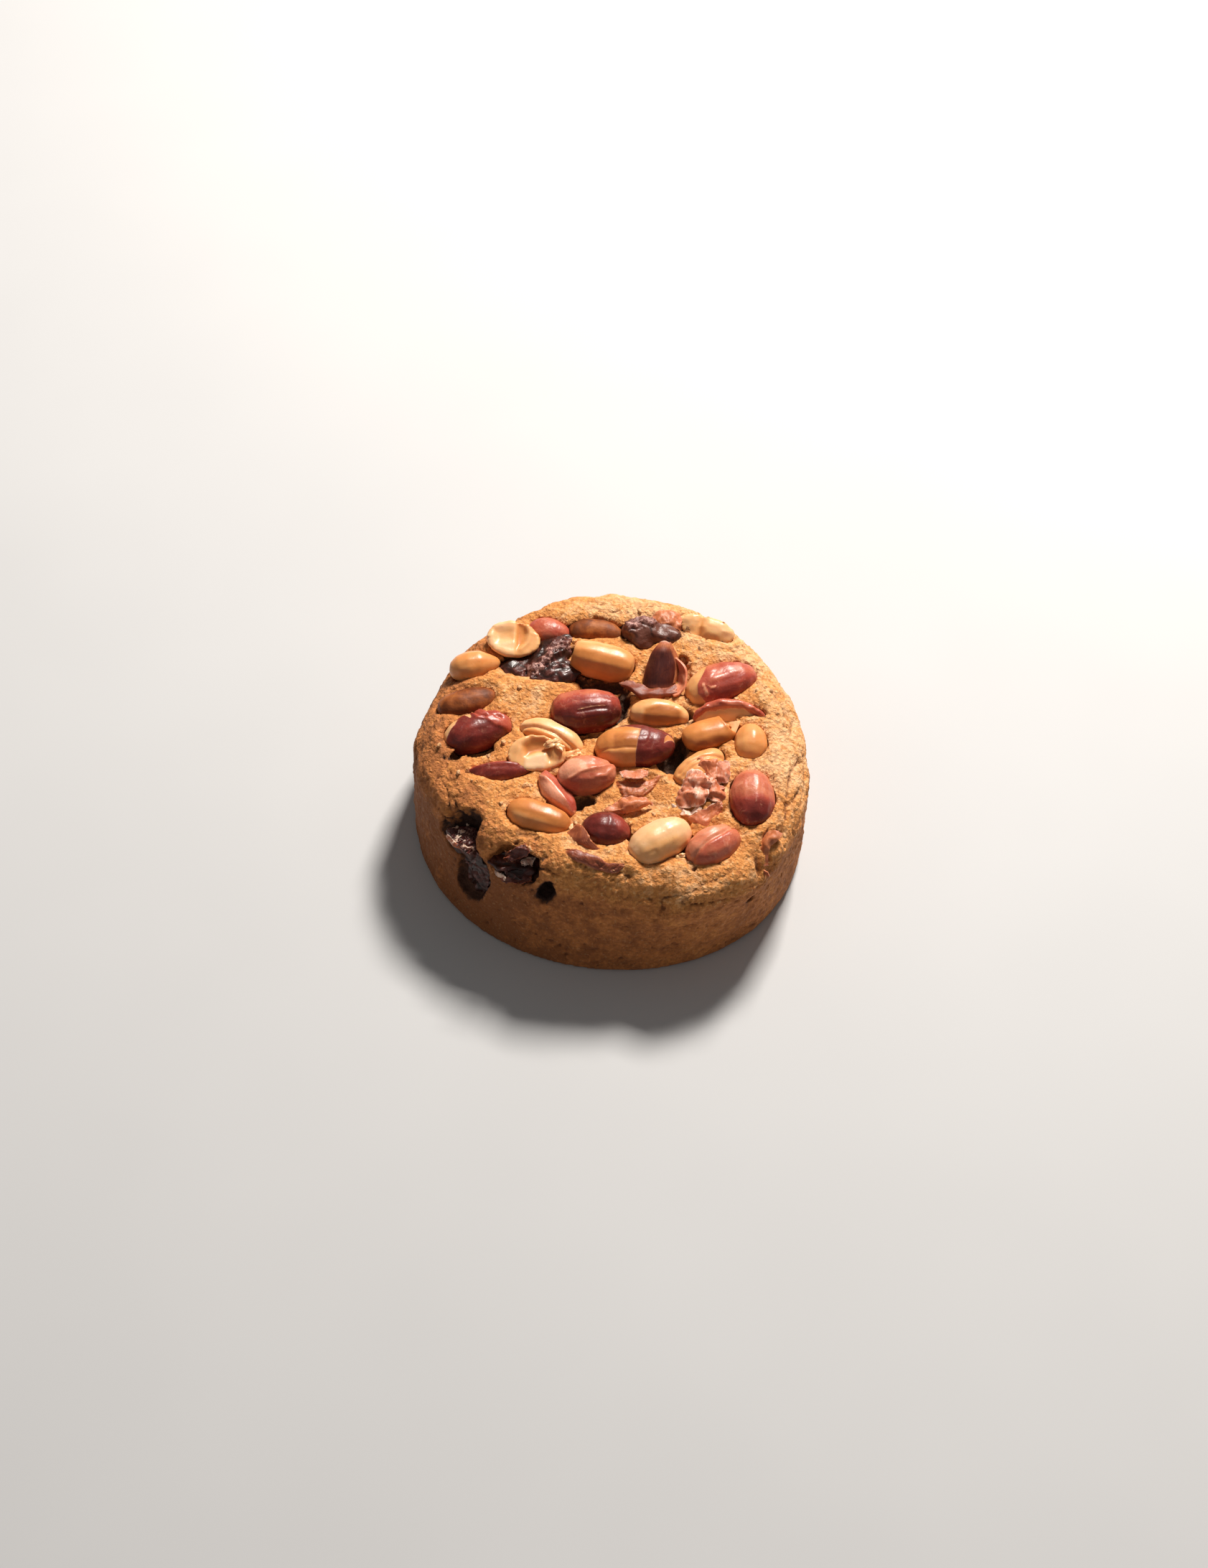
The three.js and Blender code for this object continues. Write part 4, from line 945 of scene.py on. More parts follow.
def make_kernel(node, sizes):
    """A rounded kernel with its creases, its skin and its painted tones."""
    look = KERNELS[node]
    piece = copy_of(node, node + "_shape")
    modify(piece, "REMESH", mode="VOXEL", voxel_size=sizes.kernel_grid, use_smooth_shade=True)
    modify(piece, "SMOOTH", factor=0.5, iterations=18)
    modify(piece, "DISPLACE", strength=0.16 * MM, mid_level=0)

    low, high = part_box(node)
    middle = (np.array(low) + np.array(high)) / 2
    axes = np.array(Matrix.Rotation(math.radians(look["heading"]), 3, "Z"))
    co = points_of(piece)
    local = (co - middle) @ axes / MM * look.get("grow", 1)
    for point, normal in look.get("flats", []):
        normal = np.array(normal) / np.linalg.norm(normal)
        beyond = np.maximum((local - point) @ normal, 0)
        local -= normal * (beyond * 0.85)[:, None]
    set_points(piece, local @ axes.T * MM + middle)

    co, normals = points_of(piece), normals_of(piece)
    places, up = local[:, :2], smoothstep(-0.25, 0.25, normals[:, 2])
    skin = np.full(len(co), 3.0 if "skin" in look else -3.0)
    for outline in look.get("bare", []):
        skin = np.minimum(skin, -depth_inside(places, outline))
    usual = {"flesh": 0.4, "skin": 0.3}
    tones = {tone: np.full(len(co), look.get(tone, value)) for tone, value in usual.items()}
    lift = 0.09 * smoothstep(-0.2, 0.2, skin) * (abs(skin) < 2)
    for area, soft, change in look.get("patches", []):
        share = up * smoothstep(-soft / 2, soft / 2, depth_inside(places, area))
        lift += share * change.get("lift", 0)
        for tone, values in tones.items():
            values += share * change.get(tone, 0)
    for points, width, height in look.get("creases", []):
        lift += up * height * ridge(places, points, width)
    for i, (x, y, z) in enumerate(local):
        dents = noise.noise(Vector(co[i]) / (3.4 * MM))
        wrinkles = noise.noise(Vector((x * 0.3, y * 1.5, z * 1.5)))
        lift[i] += 0.16 * dents + (0.07 if skin[i] > 0 else 0.02) * wrinkles
    set_points(piece, co + normals * lift[:, None] * MM)
    modify(piece, "SMOOTH", factor=0.4, iterations=2)
    paint(piece, skin=skin / 1.5, flesh=tones["flesh"], tone=tones["skin"], scuffs=look.get("scuffs", 0))
    return piece


def make_nib(nib):
    """A small broken bit of kernel."""
    piece = add_shape(bpy.ops.mesh.primitive_ico_sphere_add, "nib", subdivisions=4, radius=0.5)
    co = points_of(piece)
    for i, place in enumerate(co):
        here = Vector(place) * 2.2 + Vector(nib["at"])
        co[i] *= 1 + 0.65 * noise.noise(here) - 0.4 * abs(noise.noise(here * 2))
    set_points(piece, (co * nib["size"] @ np.array(turned((0, 0, nib["heading"]))).T + nib["at"]) * MM)
    paint(piece, skin=-2, flesh=nib["flesh"], tone=0, scuffs=0)
    return smooth_shade(piece)


def make_kernel_group(name, finish, sizes, sheets=(), nibs=()):
    """Joins one group of kernels, gives it its finish and hangs it on the cookie."""
    slot, nodes = GROUPS[name]
    pieces = [make_kernel(node, sizes) for node in nodes if node in KERNELS]
    group = join(pieces + [make_sheet(sheet) for sheet in sheets] + [make_nib(nib) for nib in nibs], name)
    group.data.materials.clear()
    group.data.materials.append(finish)
    return stand_for(group, slot, *nodes)


# Sheets


def curve_weights(share, count):
    """How much each of a row's points counts, for a smooth curve through them, at each share."""
    place = np.clip(share, 0, 1) * (count - 1)
    first = np.minimum(place.astype(int), count - 2)
    t = place - first
    basis = (
        (-(t**3) + 2 * t**2 - t) / 2, (3 * t**3 - 5 * t**2 + 2) / 2,
        (-3 * t**3 + 4 * t**2 + t) / 2, (t**3 - t**2) / 2,
    )
    weights = np.zeros((len(share), count))
    for k, part in enumerate(basis):
        np.add.at(weights, (np.arange(len(share)), np.clip(first + k - 1, 0, count - 1)), part)
    return weights


def make_sheet(name):
    """A thin sheet through rows of points, with torn edges and folds."""
    _, thick, ragged, crumple, tone, more, rows = SHEETS[name]
    rows = np.array(rows, float)
    piece = add_shape(bpy.ops.mesh.primitive_grid_add, name, x_subdivisions=32, y_subdivisions=32, size=2)
    across, along = points_of(piece)[:, :2].T
    seed = sum(map(ord, name)) * 0.37
    torn = np.array([
        (noise.fractal(Vector((v * 3.2, math.copysign(3, u), seed)), 0.5, 2.2, 4),
         noise.fractal(Vector((u * 3.2, math.copysign(3, v), seed + 7)), 0.5, 2.2, 4))
        for u, v in zip(across, along)
    ])
    reach = 1 - ragged * (0.03 + 0.22 * np.clip(torn, -0.15, 1))
    u, v = across * reach[:, 0], along * reach[:, 1]
    down, side = curve_weights((v + 1) / 2, rows.shape[0]), curve_weights((u + 1) / 2, rows.shape[1])
    co = np.einsum("ni,nj,ijk->nk", down, side, rows) * MM
    set_points(piece, co)
    normals = normals_of(piece)
    normals *= math.copysign(1, normals[:, 2].sum())
    folds = np.array([
        0.5 - 1.9 * abs(noise.noise(Vector(p) / (3.1 * MM))) - 0.45 * abs(noise.noise(Vector(p) / (1.2 * MM)))
        for p in co
    ])
    set_points(piece, co + normals * (folds * crumple * MM)[:, None])
    rim = smoothstep(0.8, 1, np.maximum(abs(across), abs(along)))
    if "baked" in more:
        co = points_of(piece)
        dough = tree_of(bpy.data.objects["baked_dough"])
        lift = (more["baked"] * (1 - 1.6 * rim) + 0.3 * folds * crumple) * MM
        for i, (x, y, z) in enumerate(co):
            spot = dough.ray_cast(Vector((x, y, z + 5 * MM)), DOWN)[0]
            if spot is not None:
                co[i, 2] = spot.z + lift[i]
        set_points(piece, co)
    tone = tone + (more.get("tip", tone) - tone) * smoothstep(0.35, 0.95, along)
    paint(piece, tone=tone, flesh=tone, rim=rim, across=across, along=along)
    paint(piece, skin=more.get("skin", -2), scuffs=0)
    modify(piece, "SOLIDIFY", thickness=thick * MM, offset=0)
    return smooth_shade(piece)


def make_sheets(name, node, finish):
    """Joins the sheets of a node, gives them their finish and hangs them on the cookie."""
    piece = join([make_sheet(key) for key, sheet in SHEETS.items() if sheet[0] == node], name)
    piece.data.materials.append(finish)
    return stand_for(piece, "loose_skin", *([node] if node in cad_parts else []))


# Chocolate


def make_chunk(node, sizes):
    """A folded lump of chocolate. The ones in the wall are sunk into their hollows."""
    look = CHUNKS[node]
    piece = copy_of(node, node + "_shape")
    if "lobe" in look:
        carve(piece, look["lobe"], "UNION")
    modify(piece, "REMESH", mode="VOXEL", voxel_size=sizes.kernel_grid, use_smooth_shade=True)
    modify(piece, "SMOOTH", factor=0.5, iterations=14)
    co = points_of(piece)
    co[:, 2] -= np.maximum(co[:, 2] - look.get("top", 99) * MM, 0) * 0.85
    radius = np.hypot(co[:, 0], co[:, 1])
    co[:, :2] *= (1 - np.maximum(radius - look.get("reach", 99) * MM, 0) * 0.92 / radius)[:, None]
    set_points(piece, co)
    normals = normals_of(piece)
    crumbly = look.get("crumbly", 0) * smoothstep(0.2, 0.6, normals[:, 2])
    axes = np.array(turned((0, 0, look["heading"])))
    crest = calm = np.zeros(len(co))
    # The crest is raised, and marked for a painted highlight in the finish.
    if "crest" in look:
        rough = np.array([noise.fractal(Vector(place) / (1.2 * MM), 0.6, 2.2, 3) for place in co])
        away = line_distance(co[:, :2] / MM, look["crest"])
        crest = smoothstep(1.7, 0.4, away + 1.3 * rough) * smoothstep(0.1, 0.5, normals[:, 2])
        calm = smoothstep(1.5, 3, away)
    folds = np.zeros(len(co))
    for i, (x, y, z) in enumerate(co / MM @ axes):
        here = Vector((x * 0.4, y, z))
        wave = 0.5 - 2 * abs(noise.noise(here * 0.34))
        wave -= 0.3 * abs(noise.noise(here * 0.9 + Vector((5, 0, 0))))
        folds[i] = look["folds"] * (1 - crumbly[i]) * wave + crumbly[i] * 0.4 * noise.noise(here * 1.9)
        folds[i] += 0.35 * look["folds"] * noise.noise(Vector((x, y, z)) * 0.6)
        folds[i] *= 1 - 0.55 * calm[i]
        folds[i] += crest[i] * (0.5 + 0.5 * noise.noise(Vector((x, y, z)) * 1.5))
    set_points(piece, co + normals * folds[:, None] * MM)
    paint(piece, crumbly=crumbly, smooth=look.get("smooth", 0) * (1 - crumbly), crest=crest)
    return piece


def make_block_flakes():
    """Thin chips that lie on the broken top of the sunk block."""
    random.seed(11)
    tree = tree_of(bpy.data.objects["sunk_chocolate"])
    flakes = []
    while len(flakes) < BLOCK_TOP["chips"]:
        start = Vector((random.uniform(*BLOCK_TOP["x"]), random.uniform(*BLOCK_TOP["y"]), 30)) * MM
        spot = tree.ray_cast(start, DOWN)[0]
        if spot is None or spot.z < BLOCK_TOP["above"] * MM:
            continue
        i = len(flakes)
        flake = add_shape(
            bpy.ops.mesh.primitive_grid_add, f"flake_{i}", x_subdivisions=6, y_subdivisions=5, size=1,
        )
        co = points_of(flake)
        x, y = co[:, 0] * random.uniform(0.7, 1.5), co[:, 1] * random.uniform(0.5, 1)
        torn = np.array([1 + 0.9 * noise.noise(Vector((u * 3, v * 3, i * 2.3))) for u, v, _ in co])
        z = 0.12 * np.sin(co[:, 0] * 5 + i) + 0.1 * np.cos(co[:, 1] * 7 + i)
        set_points(flake, np.stack([x * torn, y * torn, z], 1) * MM)
        turn = turned([random.uniform(-25, 25), random.uniform(-20, 20), random.uniform(0, 360)])
        flake.data.transform(Matrix.Translation(spot + Vector((0, 0, 0.1 * MM))) @ turn.to_4x4())
        paint(flake, tone=random.choice((-0.2, -0.1, 0, 1)), rim=0)
        flakes.append(modify(flake, "SOLIDIFY", thickness=0.16 * MM, offset=0))
    return flakes


# Dough


def carve(piece, hollow, operation="DIFFERENCE"):
    """Cuts a rough rounded hollow into a piece, or adds it."""
    cutter = add_shape(bpy.ops.mesh.primitive_uv_sphere_add, "cutter", segments=40, ring_count=24, radius=0.5)
    co = points_of(cutter) * 2
    co = np.sign(co) * abs(co) ** (1 - 0.6 * hollow["square"])
    for i, place in enumerate(co):
        here = Vector(place) * 2.4 + Vector(hollow["at"])
        co[i] *= 1 + 0.2 * noise.noise(here) + 0.16 * noise.noise(here * 2.3)
    axes = np.array(turned(hollow["turn"]))
    set_points(cutter, (co * hollow["size"] / 2 @ axes.T + hollow["at"]) * MM)
    modify(piece, "BOOLEAN", object=cutter, operation=operation, solver="EXACT")
    remove(cutter)


def shade_and_stain_of(piece):
    """How dark each vertex is painted, as painted shade with some chocolate stain: dark where it
    lies deep inside a carved hollow and is shut in around it.
    """
    co, normals = points_of(piece) / MM, normals_of(piece)
    tree = tree_of(piece)
    steps = [(k + 0.5) / 24 for k in range(24)]
    ways = [(math.sqrt(1 - h * h) * math.cos(k * 2.4), math.sqrt(1 - h * h) * math.sin(k * 2.4), h)
            for k, h in enumerate(steps)]
    stain = np.zeros(len(co))
    for hollow in CARVED:
        inside = abs((co - hollow["at"]) @ np.array(turned(hollow["turn"])) / np.array(hollow["size"]) * 2)
        power = 2 / (1 - 0.6 * hollow["square"])
        depth = (inside**power).sum(1) ** (1 / power)
        stain = np.maximum(stain, hollow["stain"] * smoothstep(1.5, 1.2, depth))
    for i in np.flatnonzero(stain):
        start = Vector((co[i] + normals[i] * 0.15) * MM)
        turn = Vector(normals[i]).to_track_quat("Z", "Y")
        hits = [tree.ray_cast(start, turn @ Vector(way), 7 * MM)[0] for way in ways]
        shut = sum(hit is not None for hit in hits) / len(ways)
        stain[i] *= smoothstep(0.1, 0.34, shut + 0.16 * noise.noise(Vector(co[i]) * 0.7))
    return stain


def kernel_mould():
    """One throw-away object with every shape that the dough has to hug."""
    names = [*GROUPS, "melted_chocolate"]
    return join([link(bpy.data.objects[name].data.copy(), name + "_mould") for name in names], "mould")


def bend_lip(piece):
    """Sinks and spreads the right half of the front lip, and lets the left half fall away earlier."""
    co = points_of(piece) / MM
    radius, angle = np.hypot(co[:, 0], co[:, 1]), np.degrees(np.arctan2(co[:, 1], co[:, 0]))
    upper = smoothstep(13, 24, co[:, 2])
    spread = smoothstep(-84, -72, angle) * smoothstep(-34, -46, angle) * upper
    fallen = smoothstep(-112, -100, angle) * smoothstep(-66, -78, angle) * upper
    co[:, 2] -= 1.9 * spread * smoothstep(27, 33, radius) + fallen * np.maximum(radius - 33.5, 0) * 0.5
    co[:, :2] *= (1 + 1.4 * spread * smoothstep(39.5, 43, radius) / np.maximum(radius, 1))[:, None]
    set_points(piece, co * MM)


def hug(piece, mould):
    """Presses the dough onto the mould where they nearly touch, and returns the gap between them."""
    tree = tree_of(mould)
    co = points_of(piece)
    gap = np.full(len(co), 5.0)
    for i, place in enumerate(co):
        found = tree.find_nearest(Vector(place), 4 * MM)
        if found[0] is not None:
            gap[i] = found[3] / MM
    pockets = piece.vertex_groups.new(name="pockets")
    for i, weight in enumerate(smoothstep(1.3, 0.65, gap)):
        if weight > 0:
            pockets.add([i], float(weight), "REPLACE")
    modify(
        piece, "SHRINKWRAP", target=mould, wrap_method="NEAREST_SURFACEPOINT", wrap_mode="INSIDE",
        offset=0.12 * MM, vertex_group="pockets",
    )
    modify(piece, "SMOOTH", factor=0.5, iterations=2, vertex_group="pockets")
    return gap


def roughen(piece, gap, relief):
    """Gives the crust its hills, lumps, pits, creases and clefts."""
    co, normals = points_of(piece), normals_of(piece)
    places = co / MM
    radius, height = np.hypot(places[:, 0], places[:, 1]), places[:, 2]
    around = np.arctan2(places[:, 1], places[:, 0]) * COOKIE_RADIUS
    free = smoothstep(0.3, 1.2, gap) * smoothstep(0.3, 2.5, height)
    wall = smoothstep(24, 19, height) * smoothstep(34, 39, radius)
    rim = smoothstep(31, 36, radius) * smoothstep(18, 22, height)
    lift = np.zeros(len(co))
    for i in range(len(co)):
        here = Vector(places[i])
        open_gap = smoothstep(-0.25, 0.35, noise.noise(here * 0.22 + Vector((3, 1, 8))))
        lift[i] = -0.5 * smoothstep(1.2, 0.5, gap[i]) * open_gap
        if free[i] == 0:
            continue
        hills = 0.6 * noise.noise(here * 0.13) * smoothstep(1.5, 4, gap[i])
        collar = 0.35 * math.exp(-((gap[i] - 2.1) / 0.8) ** 2) * (1 - open_gap)
        lumps = 0.32 * noise.fractal(here * 0.3, 0.8, 2.1, 3) + 0.16 * noise.noise(here * 1.1)
        lumps += 0.14 * noise.noise(here * 1.9) * (1 - 0.5 * wall[i])
        pits = max(0.0, noise.noise(here * 0.75 + Vector((7, 3, 1))) - 0.5)
        ripple = Vector((around[i] * 0.11, (radius[i] - height[i]) * 0.26, 2))
        creases = max(0, 1 - abs(noise.noise(ripple)) / 0.08)
        creases *= smoothstep(-0.1, 0.2, noise.noise(ripple * 0.6))
        seams = max(0, 1 - abs(noise.noise(Vector((around[i] * 0.09, height[i] * 0.3, 5)))) / 0.05)
        seams *= smoothstep(0.0, 0.25, noise.noise(here * 0.1 + Vector((1, 9, 4))))
        lift[i] += free[i] * (
            hills * (1 - wall[i]) + collar + lumps - 2 * pits - 0.5 * rim[i] * creases - 0.4 * wall[i] * seams
        )
    for points, width, depth in CLEFTS:
        lift -= depth * ridge(places, points, width) * smoothstep(0.3, 0.9, gap)
    set_points(piece, co + normals * (lift * relief)[:, None] * MM)


def level_foot(piece):
    """Flattens the underside onto the table, as one wide face."""
    co = points_of(piece)
    low = co[:, 2] < 0.35 * MM
    co[:, 2] = np.where(low, 0, np.maximum(co[:, 2], 0))
    set_points(piece, co)
    select_only(piece)
    piece.data.vertices.foreach_set("select", low)
    bpy.ops.object.mode_set(mode="EDIT")
    bpy.ops.mesh.select_mode(type="VERT")
    bpy.ops.mesh.dissolve_limited(angle_limit=math.radians(1))
    bpy.ops.object.mode_set(mode="OBJECT")


def make_dough(sizes):
    """The baked body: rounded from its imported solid, pressed onto the kernels and crumbed."""
    piece = copy_of("dough", "baked_dough")
    carve(piece, FILLED, "UNION")
    for hollow in CARVED:
        carve(piece, hollow)
    modify(piece, "REMESH", mode="VOXEL", voxel_size=sizes.dough_grid, use_smooth_shade=True)
    modify(piece, "SMOOTH", factor=0.5, iterations=7)
    bend_lip(piece)
    mould = kernel_mould()
    gap = hug(piece, mould)
    remove(mould)
    roughen(piece, gap, sizes.crust_relief)
    level_foot(piece)

    co = points_of(piece) / MM
    edge = smoothstep(28, 37, np.hypot(co[:, 0], co[:, 1]))
    left = smoothstep(-0.1, 0.8, co @ (-0.95, -0.1, 0) / COOKIE_RADIUS)
    top = smoothstep(19, 24, co[:, 2])
    back = smoothstep(-26, -10, co[:, 1])
    # How browned the crust is painted: real browning toward the edge and down the wall, with painted shade
    # that darkens the left rim and part of the wall, and painted light that pales the top of the back and
    # right rim.
    toasted = 0.32 + edge * (0.42 * left + 0.4 * (1 - top) - 0.2 * top * back * (1 - left))
    paint(piece, hollow=hollowness(piece, 4), toasted=toasted, stain=shade_and_stain_of(piece))
    piece.data.materials.append(dough_finish(sizes))
    return stand_for(piece, "dough", "dough")


def make_crumbs(sizes):
    """Loose crumbs of dough that lie on the top, joined into one object."""
    random.seed(7)
    mould = kernel_mould()
    tree, covers = tree_of(bpy.data.objects["baked_dough"]), tree_of(mould)
    remove(mould)
    shapes = []
    for kind in range(3):
        shape = add_shape(bpy.ops.mesh.primitive_ico_sphere_add, "crumb", subdivisions=2, radius=0.5 * MM)
        co = points_of(shape)
        for i, place in enumerate(co):
            co[i] *= 0.8 + 0.6 * noise.noise(Vector(place) / (0.4 * MM) + Vector((kind * 5, 0, 0)))
        set_points(shape, co)
        shapes.append(shape)
    crumbs = []
    while len(crumbs) < sizes.crumb_count:
        angle, reach = random.uniform(0, math.tau), math.sqrt(random.random()) * CRUMB_REACH * MM
        start = Vector((math.cos(angle) * reach, math.sin(angle) * reach, 40 * MM))
        spot = tree.ray_cast(start, DOWN)[0]
        if spot is None or spot.z < CRUMB_FLOOR * MM or covers.ray_cast(start, DOWN)[0] is not None:
            continue
        crumb = link(random.choice(shapes).data.copy(), "crumb")
        size = random.uniform(0.6, 1.5) ** 1.5
        turn = turned([random.uniform(0, 360) for _ in range(3)]).to_4x4()
        crumb.data.transform(Matrix.Translation(spot) @ turn @ Matrix.Diagonal((size, size, size * 0.7, 1)))
        crumbs.append(crumb)
    for shape in shapes:
        remove(shape)
    piece = join(crumbs, "loose_crumbs")
    select_only(piece)
    bpy.ops.object.shade_smooth()
    paint(piece, hollow=0, toasted=0, stain=0)
    piece.data.materials.append(bpy.data.materials["baked_crumb"])
    return stand_for(piece, "dough")


# Sizes and colours that a user may change


def shade(name, description, default):
    """A colour property."""
    return bpy.props.FloatVectorProperty(
        name=name, description=description, subtype="COLOR", size=3, min=0, max=1, default=default,
    )


class CookieSizes(bpy.types.PropertyGroup):
    """Sizes and colours of the cookie."""

    dough_grid: bpy.props.FloatProperty(
        name="Dough grid", description="Width of the dough's facets", unit="LENGTH", default=0.5 * MM,
    )
    kernel_grid: bpy.props.FloatProperty(
        name="Kernel grid", description="Width of a kernel's facets", unit="LENGTH", default=0.3 * MM,
    )
    crust_relief: bpy.props.FloatProperty(
        name="Crust relief", description="Depth of the crust's lumps and clefts", subtype="FACTOR",
        default=1.0,
    )
    crumb_count: bpy.props.IntProperty(
        name="Crumbs", description="Number of loose crumbs on the top", default=45, min=1,
    )
    dough_pale: shade("Pale dough", "Crumb that browned least", (0.90, 0.51, 0.25))
    dough_golden: shade("Golden dough", "Most of the crust", (0.76, 0.30, 0.072))
    dough_toasted: shade("Toasted dough", "The browned rim", (0.56, 0.19, 0.046))
    dough_crumb: shade("Dough crumbs", "Light grains on the crust", (0.94, 0.56, 0.24))
    dough_brown: shade("Brown dough", "Darkest crust", (0.30, 0.095, 0.022))
    # Painted shade in the pits and clefts.
    dough_pit_shade: shade("Pits", "Pits and clefts", (0.17, 0.05, 0.013))
    flesh_pale: shade("Pale kernel", "Least roasted flesh", (0.90, 0.58, 0.34))
    flesh_light: shade("Light kernel", "Lightly roasted flesh", (0.86, 0.45, 0.185))
    flesh_gold: shade("Golden kernel", "Well roasted flesh", (0.70, 0.26, 0.07))
    flesh_toasted: shade("Toasted kernel", "Browned flesh", (0.34, 0.09, 0.018))
    skin_maroon: shade("Maroon skin", "Darkest skin", (0.07, 0.010, 0.007))
    skin_dark: shade("Dark skin", "Dark red skin", (0.19, 0.023, 0.016))
    skin_red: shade("Red skin", "Middle red skin", (0.42, 0.068, 0.040))
    skin_tan: shade("Tan skin", "Light skin", (0.62, 0.19, 0.095))
    skin_pink: shade("Pink skin", "Palest kernel skin", (0.80, 0.36, 0.22))
    skin_worn: shade("Worn skin", "Scuffed skin", (0.76, 0.36, 0.22))
    film_dark: shade("Dark film", "Folds of the film of dough", (0.13, 0.03, 0.007))
    film_brown: shade("Brown film", "Most of the film of dough", (0.27, 0.068, 0.014))
    film_gold: shade("Golden film", "Lightest film of dough", (0.42, 0.13, 0.03))
    film_speck: shade("Film specks", "Dark specks on the film", (0.11, 0.03, 0.008))
    sheet_brown: shade("Brown sheet", "Dark loose skin", (0.27, 0.06, 0.026))
    sheet_orange: shade("Orange sheet", "Middle of the loose skin", (0.58, 0.18, 0.065))
    sheet_pale: shade("Pale sheet", "Palest loose skin", (0.92, 0.62, 0.48))
    chocolate_dark: shade("Dark chocolate", "Folds of the chocolate", (0.028, 0.009, 0.006))
    # Partly the chocolate's own brown, partly painted highlight on the fold tops.
    chocolate_ridge_tint_and_highlight: shade("Light chocolate", "Ridges of the chocolate", (0.13, 0.034, 0.026))
    chocolate_brown: shade("Brown chocolate", "The smoother chunk", (0.15, 0.05, 0.032))
    # Partly bloom, partly painted highlight.
    chocolate_bloom_and_highlight: shade("Bloomed chocolate", "Pale specks of the chocolate", (0.62, 0.34, 0.28))
    # Painted highlight on the broken crest.
    chocolate_crest_highlight: shade("Chocolate crest", "The broken ridge", (0.2, 0.062, 0.05))
    chocolate_torn: shade("Torn chocolate", "The crumbly breaks", (0.08, 0.02, 0.014))
    chocolate_crumb: shade("Chocolate crumbs", "Grains of the crumbly breaks", (0.42, 0.22, 0.16))


class PieceOperator:
    """What the operators share: each builds its pieces with the sizes of the scene."""

    bl_options = {"REGISTER", "UNDO"}

    def execute(self, context):
        self.build(context.scene.cookie_sizes)
        return {"FINISHED"}


class COOKIE_OT_stage(PieceOperator, bpy.types.Operator):
    """Set up the floor, the lights and the camera."""

    bl_idname = "cookie.stage"
    bl_label = "Stage"

    def build(self, sizes):
        make_stage()


class COOKIE_OT_blanched(PieceOperator, bpy.types.Operator):
    """Make the whole kernels without skin."""

    bl_idname = "cookie.blanched"
    bl_label = "Blanched Kernels"

    def build(self, sizes):
        make_kernel_group("blanched_kernels", kernel_finish("blanched_flesh", sizes), sizes)


class COOKIE_OT_red(PieceOperator, bpy.types.Operator):
    """Make the whole kernels with their red skin."""

    bl_idname = "cookie.red"
    bl_label = "Red Kernels"

    def build(self, sizes):
        make_kernel_group("red_kernels", kernel_finish("red_papery_skin", sizes), sizes)


class COOKIE_OT_torn(PieceOperator, bpy.types.Operator):
    """Make the kernels with half of their skin."""

    bl_idname = "cookie.torn"
    bl_label = "Torn Kernels"

    def build(self, sizes):
        make_kernel_group("torn_kernels", kernel_finish("half_peeled_skin", sizes), sizes)


class COOKIE_OT_dusted(PieceOperator, bpy.types.Operator):
    """Make the kernels under a film of dough."""

    bl_idname = "cookie.dusted"
    bl_label = "Dusted Kernels"

    def build(self, sizes):
        make_kernel_group("dusted_kernels", dusted_finish(sizes), sizes)


class COOKIE_OT_split(PieceOperator, bpy.types.Operator):
    """Make the half kernels and shards."""

    bl_idname = "cookie.split"
    bl_label = "Split Kernels"

    def build(self, sizes):
        finish = kernel_finish("split_flesh", sizes)
        make_kernel_group("split_kernels", finish, sizes, ("curl", "tongue"), NIBS)


class COOKIE_OT_chocolate(PieceOperator, bpy.types.Operator):
    """Make the chunks of chocolate."""

    bl_idname = "cookie.chocolate"
    bl_label = "Chocolate"

    def build(self, sizes):
        finish = chocolate_finish(sizes)
        for name, numbers in (("melted_chocolate", (1, 2)), ("sunk_chocolate", (3, 4, 5))):
            nodes = [f"chocolate_{i}" for i in numbers]
            piece = join([make_chunk(node, sizes) for node in nodes], name)
            piece.data.materials.append(finish)
            stand_for(piece, "chocolate", *nodes)


class COOKIE_OT_skins(PieceOperator, bpy.types.Operator):
    """Make the loose skins and the flakes that are baked onto the dough."""

    bl_idname = "cookie.skins"
    bl_label = "Loose Skins"

    def build(self, sizes):
        finish = sheet_finish(sizes)
        for i in range(1, 6):
            make_sheets(f"skin_{i}_sheets", f"skin_{i}", finish)
        make_sheets("baked_flakes", "flakes", finish)
        flakes = join(make_block_flakes(), "block_flakes")
        flakes.data.materials.append(finish)
        stand_for(flakes, "loose_skin")


class COOKIE_OT_dough(PieceOperator, bpy.types.Operator):
    """Make the baked dough around the toppings."""

    bl_idname = "cookie.dough"
    bl_label = "Dough"

    def build(self, sizes):
        make_dough(sizes)


class COOKIE_OT_crumbs(PieceOperator, bpy.types.Operator):
    """Scatter loose crumbs over the top."""

    bl_idname = "cookie.crumbs"
    bl_label = "Crumbs"

    def build(self, sizes):
        make_crumbs(sizes)


class COOKIE_PT_panel(bpy.types.Panel):
    """Lists the steps that make the cookie."""

    bl_idname = "COOKIE_PT_panel"
    bl_label = "Cookie"
    bl_space_type = "VIEW_3D"
    bl_region_type = "UI"
    bl_category = "Cookie"

    def draw(self, context):
        for operator in OPERATORS:
            self.layout.operator(operator.bl_idname)
        for name in CookieSizes.__annotations__:
            self.layout.prop(context.scene.cookie_sizes, name)


# Stage


